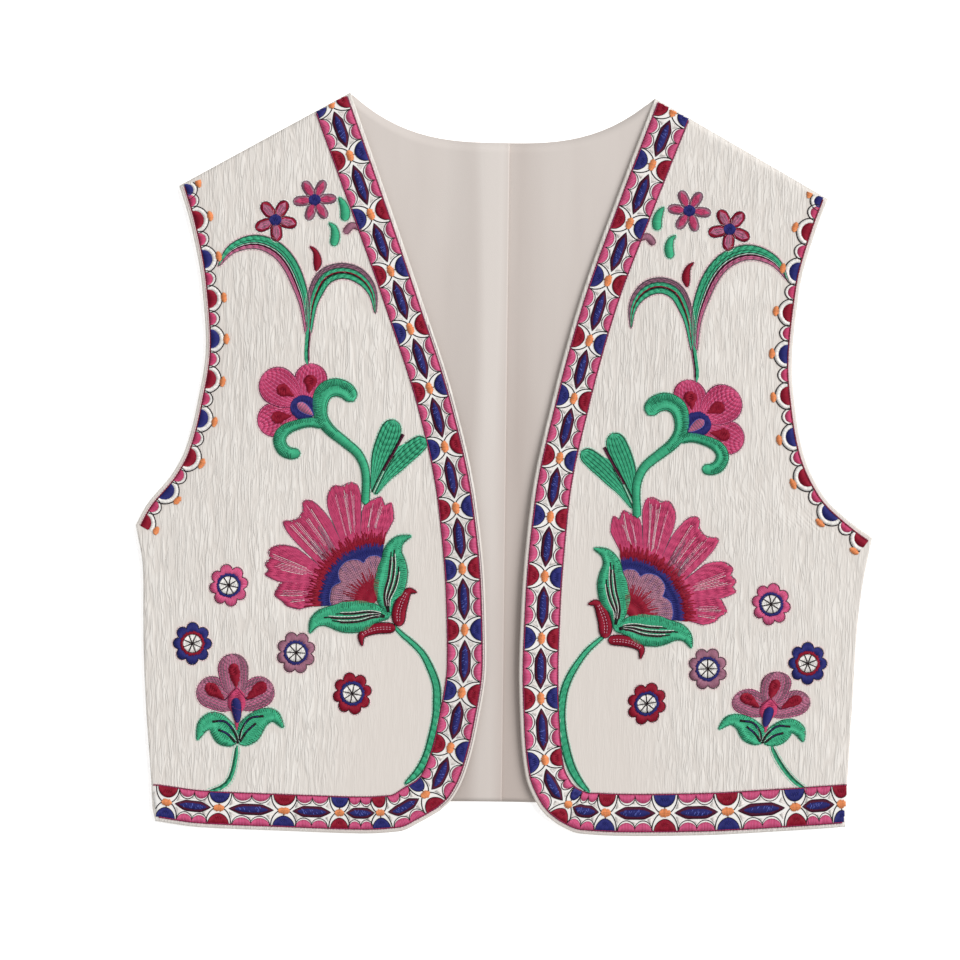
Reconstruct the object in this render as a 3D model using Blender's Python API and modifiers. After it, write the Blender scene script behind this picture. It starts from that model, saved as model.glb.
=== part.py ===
"""A short open-fronted waistcoat, laid flat on its back with the neck towards +Y.

The back and its lining lie on the surface, the two fronts lie on them, and the worked borders and the
scalloped armhole edging lie on the fronts. Metres; left and right are as seen from above.
"""
from collections import namedtuple

import bmesh
import bpy
import numpy as np
from mathutils import Vector

# Cloth walls, and the gap that neighbouring pieces keep.
BACK_WALL = 0.0014
LINING_WALL = 0.0010
FRONT_WALL = 0.0020
THREAD_WALL = 0.0008
SEAM_GAP = 0.0003
THREAD_GAP = 0.0004

# Heights of the layers at the seams.
LINING_UNDER = BACK_WALL + SEAM_GAP
LINING_TOP = LINING_UNDER + LINING_WALL
LAYER_PITCH = LINING_WALL + SEAM_GAP

# The back: its neck scoop, its hem curve and how far the lining is set in.
NECK_DEPTH = 0.0322
NECK_ROUNDNESS = 2.9
BACK_HEM_CENTRE = -0.2258
LINING_INSET = 0.0010
LINING_END_SHARE = 0.004

# The lining's pleat at the centre back, and how its upper side settles to the left of it.
PLEAT_DEPTH = 0.010
PLEAT_AT_HEM = 0.0008
PLEAT_AT_NECK = -0.0018
SETTLE_FROM = 0.013
SETTLE_TO = 0.044

# The fronts: air under them, the lift of their free edges, and the hem that droops past the back's hem.
AIR = 0.0012
AIR_REACH = 0.022
EDGE_LIFT = 0.0022
EDGE_LIFT_REACH = 0.030
EDGE_LIFT_CENTRE = -0.095
EDGE_LIFT_LENGTH = 0.110
HEM_REST = 0.0012
DROOP_START = 0.001
DROOP_LENGTH = 0.027

# The worked border and the armhole scallops, measured in from the cloth's edge.
BORDER_NEAR = 0.0033
BORDER_FAR = 0.0262
BORDER_STEP = 0.0085
SCALLOP_NEAR = 0.0033
SCALLOP_BASE = 0.0014
SCALLOP_STEP = 0.0027
SCALLOP_PITCH_SHARE = 0.110
FIRST_SCALLOP = 0.0254
SCALLOP_SQUARENESS = 2.5
SHOULDER_SKEW = 0.17
SHOULDER_INSET = 0.0005
SIDE_SKEW = 0.20
END_INSET = 0.0020
LINE_SAMPLES = 160
HEM_OVERRUN = 0.010
DIRECTION_REACH = 0.018

# Cells of each panel's grid, closer over the hem and by the front edges.
HEM_ZONE = 0.042
HEM_ROWS = 8
SIDE_ROWS = 10
ARMHOLE_ROWS = 18
ROWS = HEM_ROWS + SIDE_ROWS + ARMHOLE_ROWS
FRONT_COLUMNS = 16
FRONT_CROWDING = 1.35
BORDER_CELLS_ACROSS = 4
SHOULDER_COLUMNS = 5
NECK_COLUMNS = 12
TURN_CELLS = 5
LINING_ROWS = 26
LINING_LEFT = (0, 0.12, 0.24, 0.36, 0.52, 0.66, 0.78, 0.82, 0.86, 0.90, 0.935, 0.965)
LINING_RIGHT = (0.04, 0.12, 0.22, 0.34, 0.44, 0.56, 0.68, 0.80, 0.90, 1)

Scallop = namedtuple("Scallop", "half_width reach")
Station = namedtuple("Station", "left_x left_y right_x right_y")
Swell = namedtuple("Swell", "left_x left_y right_x right_y height across along")

BIG_SCALLOP = Scallop(0.0072, 0.0098)
SMALL_SCALLOP = Scallop(0.0046, 0.0062)

# The outline as it lies, a row for each place that the shape needs.
SIDE_SEAM = (
    Station(-0.2326, -0.2427, 0.2338, -0.2385),
    Station(-0.2346, -0.2349, 0.2343, -0.2255),
    Station(-0.2361, -0.2147, 0.2348, -0.2110),
    Station(-0.2408, -0.1595, 0.2376, -0.1510),
    Station(-0.2429, -0.1208, 0.2393, -0.1101),
    Station(-0.2440, -0.0733, 0.2434, -0.0712),
    Station(-0.2494, -0.0427, 0.2488, -0.0431),
)
ARMHOLE = (
    Station(-0.2494, -0.0427, 0.2488, -0.0431),
    Station(-0.2424, -0.0293, 0.2382, -0.0358),
    Station(-0.2250, -0.0072, 0.2148, -0.0142),
    Station(-0.2170, 0.0085, 0.2006, 0.0158),
    Station(-0.2095, 0.0390, 0.1949, 0.0461),
    Station(-0.2042, 0.0780, 0.1925, 0.0720),
    Station(-0.2075, 0.1200, 0.1969, 0.1250),
    Station(-0.2158, 0.1610, 0.2076, 0.1660),
    Station(-0.2240, 0.1872, 0.2148, 0.1858),
)
FRONT_EDGE = (
    Station(-0.0402, -0.2322, 0.0320, -0.2348),
    Station(-0.0324, -0.2242, 0.0258, -0.2274),
    Station(-0.0239, -0.2072, 0.0167, -0.2066),
    Station(-0.0157, -0.1732, 0.0128, -0.1732),
    Station(-0.0106, -0.1332, 0.0112, -0.1332),
    Station(-0.0122, -0.0862, 0.0122, -0.0882),
    Station(-0.0194, -0.0222, 0.0174, -0.0212),
    Station(-0.0356, 0.0458, 0.0307, 0.0468),
    Station(-0.0584, 0.1128, 0.0482, 0.1144),
    Station(-0.0825, 0.1798, 0.0713, 0.1824),
    Station(-0.1094, 0.2523, 0.0966, 0.2519),
)
FRONT_HEM = (
    Station(-0.2326, -0.2427, 0.2338, -0.2385),
    Station(-0.2018, -0.2463, 0.1895, -0.2422),
    Station(-0.1478, -0.2478, 0.1356, -0.2460),
    Station(-0.0938, -0.2488, 0.0816, -0.2474),
    Station(-0.0670, -0.2468, 0.0546, -0.2463),
    Station(-0.0536, -0.2403, 0.0410, -0.2411),
    Station(-0.0402, -0.2322, 0.0320, -0.2348),
)
# Soft rises of each front where it doesn't lie close to the back.
SWELLS = (
    Swell(-0.150, 0.095, 0.138, 0.080, 0.0022, 0.050, 0.085),
    Swell(-0.188, -0.055, 0.182, -0.075, 0.0014, 0.034, 0.070),
    Swell(-0.085, -0.020, 0.092, 0.005, 0.0013, 0.038, 0.095),
    Swell(-0.120, -0.165, 0.128, -0.150, 0.0016, 0.060, 0.060),
)


def smooth(knots, values, at):
    """Cubic through a table's rows that never overshoots them; knots rise."""
    knots, values = np.asarray(knots), np.asarray(values)
    steps = np.diff(knots)
    slopes = np.diff(values) / steps
    lean = np.concatenate(([slopes[0]], np.zeros(len(slopes) - 1), [slopes[-1]]))
    for i in range(1, len(slopes)):
        before, after = slopes[i - 1], slopes[i]
        if before * after > 0:
            near, far = 2 * steps[i] + steps[i - 1], steps[i] + 2 * steps[i - 1]
            lean[i] = (near + far) / (near / before + far / after)
    at = np.clip(at, knots[0], knots[-1])
    i = np.clip(np.searchsorted(knots, at) - 1, 0, len(steps) - 1)
    t = (at - knots[i]) / steps[i]
    bend = t * (1 - t) * steps[i] * ((1 - t) * (lean[i] - slopes[i]) - t * (lean[i + 1] - slopes[i]))
    return values[i] + t * (values[i + 1] - values[i]) + bend


def soft_step(value, start, end):
    """0 before start, 1 after end, easing between them."""
    t = np.clip((value - start) / (end - start), 0, 1)
    return t * t * (3 - 2 * t)


def blend(start, end, share):
    return start + share * (end - start)


class Side:
    """The outline of one side of the waistcoat, from the columns of the tables."""

    def __init__(self, name):
        self.name = name
        self.sign = -1 if name == "left" else 1

    def column(self, table):
        return np.array([(getattr(row, self.name + "_x"), getattr(row, self.name + "_y")) for row in table])

    def x_on(self, table, y):
        points = self.column(table)
        return smooth(points[:, 1], points[:, 0], y)

    def outer_x(self, y):
        seam_end = self.column(SIDE_SEAM)[-1, 1]
        return np.where(y < seam_end, self.x_on(SIDE_SEAM, y), self.x_on(ARMHOLE, y))

    def inner_x(self, y):
        return self.x_on(FRONT_EDGE, y)

    def hem_y(self, x):
        points = self.column(FRONT_HEM)
        order = np.argsort(points[:, 0])
        return smooth(points[order, 0], points[order, 1], x)

    def shoulder_y(self, x):
        tip, neck = self.column(ARMHOLE)[-1], self.column(FRONT_EDGE)[-1]
        share = (x - tip[0]) / (neck[0] - tip[0])
        return tip[1] + share * (neck[1] - tip[1])

    def along_seam(self, share):
        """A height up the outer line, and its share of the whole climb."""
        seam, armhole = self.column(SIDE_SEAM)[:, 1], self.column(ARMHOLE)[:, 1]
        rows = (0, HEM_ROWS / ROWS, (HEM_ROWS + SIDE_ROWS) / ROWS, 1)
        y = np.interp(share, rows, (seam[0], seam[0] + HEM_ZONE, armhole[0], armhole[-1]))
        return y, (y - seam[0]) / (armhole[-1] - seam[0])


LEFT, RIGHT = Side("left"), Side("right")


def pleat_x(y):
    return np.interp(y, (-0.23, 0.22), (PLEAT_AT_HEM, PLEAT_AT_NECK))


def lining_rise(distance):
    """How far the lining's top stands over its lowest layer, at a distance left of the pleat's fold."""
    over = (distance > -SEAM_GAP) * (1 - soft_step(distance, SETTLE_FROM, SETTLE_TO))
    return 2 * LAYER_PITCH * over


def back_hem_y(x):
    """The back's hem, falling from the centre to where each side seam ends."""
    (left_x, left_y), (right_x, right_y) = LEFT.column(SIDE_SEAM)[0], RIGHT.column(SIDE_SEAM)[0]
    share, end_y = np.where(x < 0, x / left_x, x / right_x), np.where(x < 0, left_y, right_y)
    return BACK_HEM_CENTRE - (BACK_HEM_CENTRE - end_y) * share ** 2


def back_top_y(x):
    """The shoulders and the neck scoop between the two neck points."""
    left, right = LEFT.column(FRONT_EDGE)[-1], RIGHT.column(FRONT_EDGE)[-1]
    middle, half = (left[0] + right[0]) / 2, (right[0] - left[0]) / 2
    across = np.clip(abs(x - middle) / half, 0, 1)
    scoop = left[1] - NECK_DEPTH * (1 - across ** NECK_ROUNDNESS)
    side = LEFT if x < middle else RIGHT
    return scoop if across < 1 else side.shoulder_y(x)


def back_point(share_across, share_up):
    """A point of the back's outline patch, x and y, from its side lines, hem and top."""
    (left_y, climb), (right_y, _) = LEFT.along_seam(share_up), RIGHT.along_seam(share_up)
    left_x, right_x = LEFT.outer_x(left_y), RIGHT.outer_x(right_y)
    hem_x, hem_chord = blend(LEFT.column(SIDE_SEAM)[0], RIGHT.column(SIDE_SEAM)[0], share_across)
    top_x, top_chord = blend(LEFT.column(ARMHOLE)[-1], RIGHT.column(ARMHOLE)[-1], share_across)
    y = blend(left_y, right_y, share_across)
    y += (1 - climb) * (back_hem_y(hem_x) - hem_chord) + climb * (back_top_y(top_x) - top_chord)
    return blend(left_x, right_x, share_across), y


def front_under(side, x, y):
    """The underside of a front: clear of the lining, with air under it, drooping past the back's hem."""
    from_seam = abs(side.outer_x(y) - x)
    from_shoulder = np.maximum(side.shoulder_y(x) - y, 0)
    from_edge = abs(side.inner_x(y) - x)
    free = (1 - np.exp(-from_seam / AIR_REACH)) * (1 - np.exp(-from_shoulder / AIR_REACH))
    rise = AIR
    for swell in SWELLS:
        across = (x - getattr(swell, side.name + "_x")) / swell.across
        along = (y - getattr(swell, side.name + "_y")) / swell.along
        rise += swell.height * np.exp(-across ** 2 - along ** 2)
    lift_along = np.exp(-((y - EDGE_LIFT_CENTRE) / EDGE_LIFT_LENGTH) ** 2)
    rise += EDGE_LIFT * lift_along * np.exp(-from_edge / EDGE_LIFT_REACH)
    lying = LINING_TOP + SEAM_GAP + lining_rise(pleat_x(y) - x) + free * rise
    past_hem = back_hem_y(x) - y
    drooped = soft_step(past_hem, DROOP_START, DROOP_START + DROOP_LENGTH)
    return lying + drooped * (HEM_REST - lying)


def front_point(side, share_in, share_up):
    """A point of a front's underside; share_in runs from the side seam to the front edge."""
    edge, hem = side.column(FRONT_EDGE), side.column(FRONT_HEM)
    outer_y, climb = side.along_seam(share_up)
    inner_y = blend(edge[0, 1], edge[-1, 1], climb)
    hem_x, hem_chord = blend(hem[0], hem[-1], share_in)
    x = blend(side.outer_x(outer_y), side.inner_x(inner_y), share_in)
    y = blend(outer_y, inner_y, share_in) + (1 - climb) ** 2 * (side.hem_y(hem_x) - hem_chord)
    return Vector((x, y, front_under(side, x, y)))


def travelled(points):
    """The length along a line of points, at each of them."""
    steps = np.linalg.norm(np.diff(points, axis=0), axis=1)
    return np.concatenate(([0], np.cumsum(steps)))


def line_frame(points, length):
    """The point at a length along a line of points, and the line's direction there."""
    lengths = travelled(points)
    here, ahead, behind = (
        np.array([np.interp(at, lengths, points[:, axis]) for axis in (0, 1)])
        for at in (length, length + DIRECTION_REACH, length - DIRECTION_REACH)
    )
    return here, (ahead - behind) / np.linalg.norm(ahead - behind)


def front_line(side):
    """The front edge from the neck down, round the corner and along the hem to a little past the side."""
    edge, hem = side.column(FRONT_EDGE), side.column(FRONT_HEM)
    heights = np.linspace(edge[-1, 1], edge[0, 1], LINE_SAMPLES)
    widths = np.linspace(hem[-1, 0], hem[0, 0] + side.sign * HEM_OVERRUN, LINE_SAMPLES)[1:]
    down = [(side.inner_x(y), y) for y in heights]
    return np.array(down + [(x, side.hem_y(x)) for x in widths])


def armhole_line(side):
    """The armhole from the underarm up to the shoulder tip."""
    points = side.column(ARMHOLE)
    heights = np.linspace(points[0, 1], points[-1, 1], LINE_SAMPLES)
    return np.array([(side.x_on(ARMHOLE, y), y) for y in heights])


def thread_point(side, line, length, inward):
    """A point of the thread work's underside, a distance in from a line of the front's outline."""
    here, ahead = line_frame(line, length)
    x, y = here + inward * side.sign * np.array((-ahead[1], ahead[0]))
    return Vector((x, y, front_under(side, x, y) + FRONT_WALL + THREAD_GAP))


def scallop_depth(from_shoulder, pitch):
    """How far the armhole edging reaches in: big and small scallops in turn from the shoulder down."""
    phase = (from_shoulder - FIRST_SCALLOP) % pitch
    depth = SCALLOP_BASE
    for centre, scallop in ((0, BIG_SCALLOP), (0.5, SMALL_SCALLOP), (1, BIG_SCALLOP)):
        offset = abs(phase - centre * pitch) / scallop.half_width
        if offset < 1:
            depth = max(depth, scallop.reach * (1 - offset ** SCALLOP_SQUARENESS) ** 0.5)
    return depth


def material(name, colour, roughness):
    """A cloth or thread finish; colour is linear red, green and blue."""
    finish = bpy.data.materials.new(name)
    finish.use_nodes = True
    shader = finish.node_tree.nodes["Principled BSDF"]
    shader.inputs["Base Color"].default_value = (*colour, 1)
    shader.inputs["Roughness"].default_value = roughness
    return finish


def cloth_sheet(name, columns, rows, place, wall, finish, inside=0.0):
    """A grid laid by place(share across, share up), thickened upwards from its points or about them."""
    mesh = bpy.data.meshes.new(name)
    grid = bmesh.new()
    bmesh.ops.create_grid(grid, x_segments=columns, y_segments=rows, size=0.5)
    for vert in grid.verts:
        vert.co = place(vert.co.x + 0.5, vert.co.y + 0.5)
    grid.to_mesh(mesh)
    grid.free()
    piece = bpy.data.objects.new(name, mesh)
    garment.objects.link(piece)
    mesh.materials.append(finish)
    solid = piece.modifiers.new("wall", "SOLIDIFY")
    solid.thickness = wall
    solid.offset = 1 - 2 * inside
    return piece


def make_back():
    """The crepe back, flat on the surface."""
    neck_left, neck_right = LEFT.column(FRONT_EDGE)[-1, 0], RIGHT.column(FRONT_EDGE)[-1, 0]
    tip_left, tip_right = LEFT.column(ARMHOLE)[-1, 0], RIGHT.column(ARMHOLE)[-1, 0]
    columns = 2 * SHOULDER_COLUMNS + NECK_COLUMNS
    marks = (0, SHOULDER_COLUMNS / columns, 1 - SHOULDER_COLUMNS / columns, 1)
    shares = [(x - tip_left) / (tip_right - tip_left) for x in (tip_left, neck_left, neck_right, tip_right)]

    def place(across, up):
        x, y = back_point(np.interp(across, marks, shares), up)
        return Vector((x, y, 0))

    cloth_sheet("back_panel", columns, ROWS, place, BACK_WALL, crepe)


def lining_section():
    """The lining's columns from left to right, with the wall's middle turning under and back at the pleat.

    A column is a share of its half's width, or at the pleat a distance left of the fold and a height.
    """
    low, radius = LINING_UNDER + LINING_WALL / 2, LAYER_PITCH / 2
    turn = np.linspace(0, np.pi, TURN_CELLS + 1)
    section = [("left", share, None) for share in LINING_LEFT]
    for centre, layer in ((radius, 1.5), (PLEAT_DEPTH - radius, 0.5)):
        bulge = radius if layer > 1 else -radius
        for angle in turn:
            height = low + layer * LAYER_PITCH + radius * np.cos(angle)
            section.append(("pleat", centre - bulge * np.sin(angle), height))
    return section + [("right", share, None) for share in LINING_RIGHT]


def make_lining():
    """The smooth lining of the back, folded once under itself at the centre back."""
    low = LINING_UNDER + LINING_WALL / 2
    section = lining_section()
    columns = len(section) - 1

    def place(across, up):
        kind, along, height = section[round(across * columns)]
        left_y, right_y = LEFT.along_seam(up)[0], RIGHT.along_seam(up)[0]
        left_x, right_x = LEFT.outer_x(left_y), RIGHT.outer_x(right_y)
        fold_x = pleat_x((left_y + right_y) / 2)
        if kind == "left":
            x = blend(left_x + LINING_INSET, fold_x, along)
            height = low + lining_rise(fold_x - x)
        elif kind == "pleat":
            x = fold_x - along
        else:
            x, height = blend(fold_x, right_x - LINING_INSET, along), low
        inset_up = blend(LINING_END_SHARE, 1 - LINING_END_SHARE, up)
        y = back_point((x - left_x) / (right_x - left_x), inset_up)[1]
        return Vector((x, y, height))

    cloth_sheet("back_lining", columns, LINING_ROWS, place, LINING_WALL, lining, inside=0.5)


def make_front(side):
    """A crepe front, lying on the back from its side seam to its free front edge."""
    def place(across, up):
        share_out = 1 - across if side is LEFT else across
        return front_point(side, 1 - share_out ** FRONT_CROWDING, up)

    cloth_sheet("front_" + side.name, FRONT_COLUMNS, ROWS, place, FRONT_WALL, crepe)


def make_border(side):
    """The worked band down the front edge and along the hem."""
    line = front_line(side)
    total = travelled(line)[-1] - HEM_OVERRUN
    cells = round(total / BORDER_STEP)

    def place(along, share):
        inward = BORDER_NEAR + (share if side is RIGHT else 1 - share) * (BORDER_FAR - BORDER_NEAR)
        start, end = SHOULDER_SKEW * inward + SHOULDER_INSET, total - END_INSET + SIDE_SKEW * inward
        return thread_point(side, line, start + along * (end - start), inward)

    cloth_sheet("front_border_" + side.name, cells, BORDER_CELLS_ACROSS, place, THREAD_WALL, thread_ground)


def make_edging(side):
    """The worked scallops along the armhole."""
    line = armhole_line(side)
    total = travelled(line)[-1]
    cells = round(total / SCALLOP_STEP)

    def place(along, share):
        start, end = END_INSET, total - END_INSET
        length = start + along * (end - start)
        reach = scallop_depth(total - length, SCALLOP_PITCH_SHARE * total)
        inward = SCALLOP_NEAR + (share if side is RIGHT else 1 - share) * reach
        return thread_point(side, line, length, inward)

    cloth_sheet("armhole_edging_" + side.name, cells, 2, place, THREAD_WALL, thread_navy)


for old in list(bpy.data.objects):
    bpy.data.objects.remove(old, do_unlink=True)
garment = bpy.data.collections.new("waistcoat")
bpy.context.scene.collection.children.link(garment)

crepe = material("crinkled off-white crepe", (0.80, 0.77, 0.73), 0.85)
lining = material("smooth beige lining", (0.68, 0.63, 0.60), 0.55)
thread_ground = material("raspberry and white thread", (0.58, 0.07, 0.17), 0.45)
thread_navy = material("navy thread", (0.025, 0.027, 0.17), 0.45)

make_back()
make_lining()
for side in (LEFT, RIGHT):
    make_front(side)
    make_border(side)
    make_edging(side)
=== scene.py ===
import bmesh
import bpy
import numpy as np
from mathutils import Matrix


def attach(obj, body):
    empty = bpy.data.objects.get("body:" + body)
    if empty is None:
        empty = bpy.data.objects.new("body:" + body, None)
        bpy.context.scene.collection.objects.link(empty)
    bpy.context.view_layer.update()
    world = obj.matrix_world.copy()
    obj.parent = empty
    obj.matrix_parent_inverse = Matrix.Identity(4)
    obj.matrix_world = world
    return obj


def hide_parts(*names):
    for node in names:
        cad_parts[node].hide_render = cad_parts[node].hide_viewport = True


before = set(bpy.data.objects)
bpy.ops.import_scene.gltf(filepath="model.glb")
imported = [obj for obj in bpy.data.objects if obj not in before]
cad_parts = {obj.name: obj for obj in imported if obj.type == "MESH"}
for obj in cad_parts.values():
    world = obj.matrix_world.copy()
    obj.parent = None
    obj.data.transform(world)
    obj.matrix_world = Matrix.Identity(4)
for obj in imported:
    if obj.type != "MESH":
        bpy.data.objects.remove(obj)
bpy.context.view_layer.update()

# An embroidered open-fronted waistcoat, laid flat on its back. Every number here is in millimetres, in the
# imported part's frame, and becomes metres where a mesh is made. Left and right are as seen in the picture.
mm = 0.001
dice = np.random.default_rng(7)

# The outline as it lies, the same rows as in the part's source.
outline = {
    "left": {
        "sign": -1,
        "sideSeam": [(-232.6, -242.7), (-234.6, -234.9), (-236.1, -214.7), (-240.8, -159.5),
            (-242.9, -120.8), (-244, -73.3), (-249.4, -42.7)],
        "armhole": [(-249.4, -42.7), (-242.4, -29.3), (-225, -7.2), (-217, 8.5), (-209.5, 39),
            (-204.2, 78), (-207.5, 120), (-215.8, 161), (-224, 187.2)],
        "frontEdge": [(-40.2, -232.2), (-32.4, -224.2), (-23.9, -207.2), (-15.7, -173.2), (-10.6, -133.2),
            (-12.2, -86.2), (-19.4, -22.2), (-35.6, 45.8), (-58.4, 112.8), (-82.5, 179.8), (-109.4, 252.3)],
        "frontHem": [(-232.6, -242.7), (-201.8, -246.3), (-147.8, -247.8), (-93.8, -248.8), (-67, -246.8),
            (-53.6, -240.3), (-40.2, -232.2)],
        "swells": [(-150, 95, 2.2, 50, 85), (-188, -55, 1.4, 34, 70), (-85, -20, 1.3, 38, 95),
            (-120, -165, 1.6, 60, 60)],
    },
    "right": {
        "sign": 1,
        "sideSeam": [(233.8, -238.5), (234.3, -225.5), (234.8, -211), (237.6, -151), (239.3, -110.1),
            (243.4, -71.2), (248.8, -43.1)],
        "armhole": [(248.8, -43.1), (238.2, -35.8), (214.8, -14.2), (200.6, 15.8), (194.9, 46.1),
            (192.5, 72), (196.9, 125), (207.6, 166), (214.8, 185.8)],
        "frontEdge": [(32, -234.8), (25.8, -227.4), (16.7, -206.6), (12.8, -173.2), (11.2, -133.2),
            (12.2, -88.2), (17.4, -21.2), (30.7, 46.8), (48.2, 114.4), (71.3, 182.4), (96.6, 251.9)],
        "frontHem": [(233.8, -238.5), (189.5, -242.2), (135.6, -246), (81.6, -247.4), (54.6, -246.3),
            (41, -241.1), (32, -234.8)],
        "swells": [(138, 80, 2.2, 50, 85), (182, -75, 1.4, 34, 70), (92, 5, 1.3, 38, 95),
            (128, -150, 1.6, 60, 60)],
    },
}

# Heights of the layers, and how the fronts lie on the back.
layers = {
    "liningUnder": 1.7, "liningTop": 2.7, "layerPitch": 1.3, "seamGap": 0.3, "frontWall": 2.0,
    "neckDepth": 32.2, "neckRoundness": 2.9, "backHemCentre": -225.8, "hemZone": 42.0,
    "hemRows": 8 / 36, "sideRows": 18 / 36,    # shares of the cloth's rows, up to hemZone and the underarm
    "pleatDepth": 10.0, "pleatAtHem": 0.8, "pleatAtNeck": -1.8, "pleatEnds": (-230, 220),
    "settleFrom": 13.0, "settleTo": 44.0,
    "air": 1.2, "airReach": 22.0, "edgeLift": 2.2, "edgeLiftReach": 30.0, "edgeLiftCentre": -95.0,
    "edgeLiftLength": 110.0, "hemRest": 1.2, "droopStart": 1.0, "droopLength": 27.0,
}


def smoothLine(knots, values, at):
    # cubic through a table's rows that never overshoots them; knots rise
    knots, values = np.asarray(knots, float), np.asarray(values, float)
    steps = np.diff(knots)
    slopes = np.diff(values) / steps
    lean = np.concatenate(([slopes[0]], np.zeros(len(slopes) - 1), [slopes[-1]]))
    for i in range(1, len(slopes)):
        before, after = slopes[i - 1], slopes[i]
        if before * after > 0:
            near, far = 2 * steps[i] + steps[i - 1], steps[i] + 2 * steps[i - 1]
            lean[i] = (near + far) / (near / before + far / after)
    at = np.clip(at, knots[0], knots[-1])
    i = np.clip(np.searchsorted(knots, at) - 1, 0, len(steps) - 1)
    t = (at - knots[i]) / steps[i]
    bend = t * (1 - t) * steps[i] * ((1 - t) * (lean[i] - slopes[i]) - t * (lean[i + 1] - slopes[i]))
    return values[i] + t * (values[i + 1] - values[i]) + bend


def softStep(value, start, end):
    # 0 before start, 1 after end, easing between them
    t = np.clip((value - start) / (end - start), 0, 1)
    return t * t * (3 - 2 * t)


def blend(start, end, share):
    return start + share * (end - start)


def pairs(x, y):
    # points from their x and y, or from lengths along a band and distances in from it
    return np.stack(np.broadcast_arrays(x, y), axis=-1)


def xOn(side, table, y):
    points = np.array(outline[side][table])
    return smoothLine(points[:, 1], points[:, 0], y)


def outerX(side, y):
    return np.where(y < outline[side]["sideSeam"][-1][1], xOn(side, "sideSeam", y), xOn(side, "armhole", y))


def innerX(side, y):
    return xOn(side, "frontEdge", y)


def hemY(side, x):
    points = np.array(outline[side]["frontHem"])
    points = points[np.argsort(points[:, 0])]
    return smoothLine(points[:, 0], points[:, 1], x)


def shoulderY(side, x):
    tip, neck = outline[side]["armhole"][-1], outline[side]["frontEdge"][-1]
    return tip[1] + (x - tip[0]) / (neck[0] - tip[0]) * (neck[1] - tip[1])


def alongSeam(side, share):
    # a height up the outer line, and its share of the whole climb
    low, top = outline[side]["sideSeam"][0][1], outline[side]["armhole"][-1][1]
    underarm = outline[side]["armhole"][0][1]
    knots = (0, layers["hemRows"], layers["sideRows"], 1)
    y = np.interp(share, knots, (low, low + layers["hemZone"], underarm, top))
    return y, (y - low) / (top - low)


def pleatX(y):
    return np.interp(y, layers["pleatEnds"], (layers["pleatAtHem"], layers["pleatAtNeck"]))


def liningRise(distance):
    # how far the lining's top stands over its lowest layer, at a distance left of the pleat's fold
    settled = softStep(distance, layers["settleFrom"], layers["settleTo"])
    return 2 * layers["layerPitch"] * (distance > -layers["seamGap"]) * (1 - settled)


def backHemY(x):
    (leftX, leftY), (rightX, rightY) = outline["left"]["sideSeam"][0], outline["right"]["sideSeam"][0]
    share, endY = np.where(x < 0, x / leftX, x / rightX), np.where(x < 0, leftY, rightY)
    return layers["backHemCentre"] - (layers["backHemCentre"] - endY) * share ** 2


def backTopY(x):
    # the shoulders and the neck scoop between the two neck points
    left, right = outline["left"]["frontEdge"][-1], outline["right"]["frontEdge"][-1]
    middle, half = (left[0] + right[0]) / 2, (right[0] - left[0]) / 2
    across = np.clip(abs(x - middle) / half, 0, 1)
    scoop = left[1] - layers["neckDepth"] * (1 - across ** layers["neckRoundness"])
    return np.where(across < 1, scoop, np.where(x < middle, shoulderY("left", x), shoulderY("right", x)))


def backPoint(shareAcross, shareUp):
    # x and y of the back's outline patch, from its side lines, hem and top
    (leftY, climb), (rightY, _) = alongSeam("left", shareUp), alongSeam("right", shareUp)
    left, right = outline["left"], outline["right"]
    hemX, hemChord = (blend(left["sideSeam"][0][k], right["sideSeam"][0][k], shareAcross) for k in (0, 1))
    topX, topChord = (blend(left["armhole"][-1][k], right["armhole"][-1][k], shareAcross) for k in (0, 1))
    y = blend(leftY, rightY, shareAcross)
    y = y + (1 - climb) * (backHemY(hemX) - hemChord) + climb * (backTopY(topX) - topChord)
    return blend(outerX("left", leftY), outerX("right", rightY), shareAcross), y


def frontUnder(side, x, y):
    # The underside of a front: clear of the lining, with air under it, drooping past the back's hem
    fromSeam, fromEdge = abs(outerX(side, y) - x), abs(innerX(side, y) - x)
    fromShoulder = np.maximum(shoulderY(side, x) - y, 0)
    free = (1 - np.exp(-fromSeam / layers["airReach"])) * (1 - np.exp(-fromShoulder / layers["airReach"]))
    rise = layers["air"]
    for centreX, centreY, height, across, along in outline[side]["swells"]:
        rise = rise + height * np.exp(-((x - centreX) / across) ** 2 - ((y - centreY) / along) ** 2)
    liftAlong = np.exp(-((y - layers["edgeLiftCentre"]) / layers["edgeLiftLength"]) ** 2)
    rise = rise + layers["edgeLift"] * liftAlong * np.exp(-fromEdge / layers["edgeLiftReach"])
    lying = layers["liningTop"] + layers["seamGap"] + liningRise(pleatX(y) - x) + free * rise
    drooped = softStep(backHemY(x) - y, layers["droopStart"], layers["droopStart"] + layers["droopLength"])
    return lying + drooped * (layers["hemRest"] - lying)


def frontPoint(side, shareIn, shareUp):
    # x and y of a front's patch; shareIn runs from the side seam to the front edge
    edge, hem = outline[side]["frontEdge"], outline[side]["frontHem"]
    outerY, climb = alongSeam(side, shareUp)
    innerY = blend(edge[0][1], edge[-1][1], climb)
    hemX, hemChord = blend(hem[0][0], hem[-1][0], shareIn), blend(hem[0][1], hem[-1][1], shareIn)
    x = blend(outerX(side, outerY), innerX(side, innerY), shareIn)
    return x, blend(outerY, innerY, shareIn) + (1 - climb) ** 2 * (hemY(side, hemX) - hemChord)


def travelled(points):
    # the length along a line of points, at each of them
    return np.concatenate(([0], np.cumsum(np.linalg.norm(np.diff(points, axis=0), axis=1))))


def along(points, lengths, at):
    return pairs(*(np.interp(at, lengths, points[:, axis]) for axis in (0, 1)))


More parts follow.
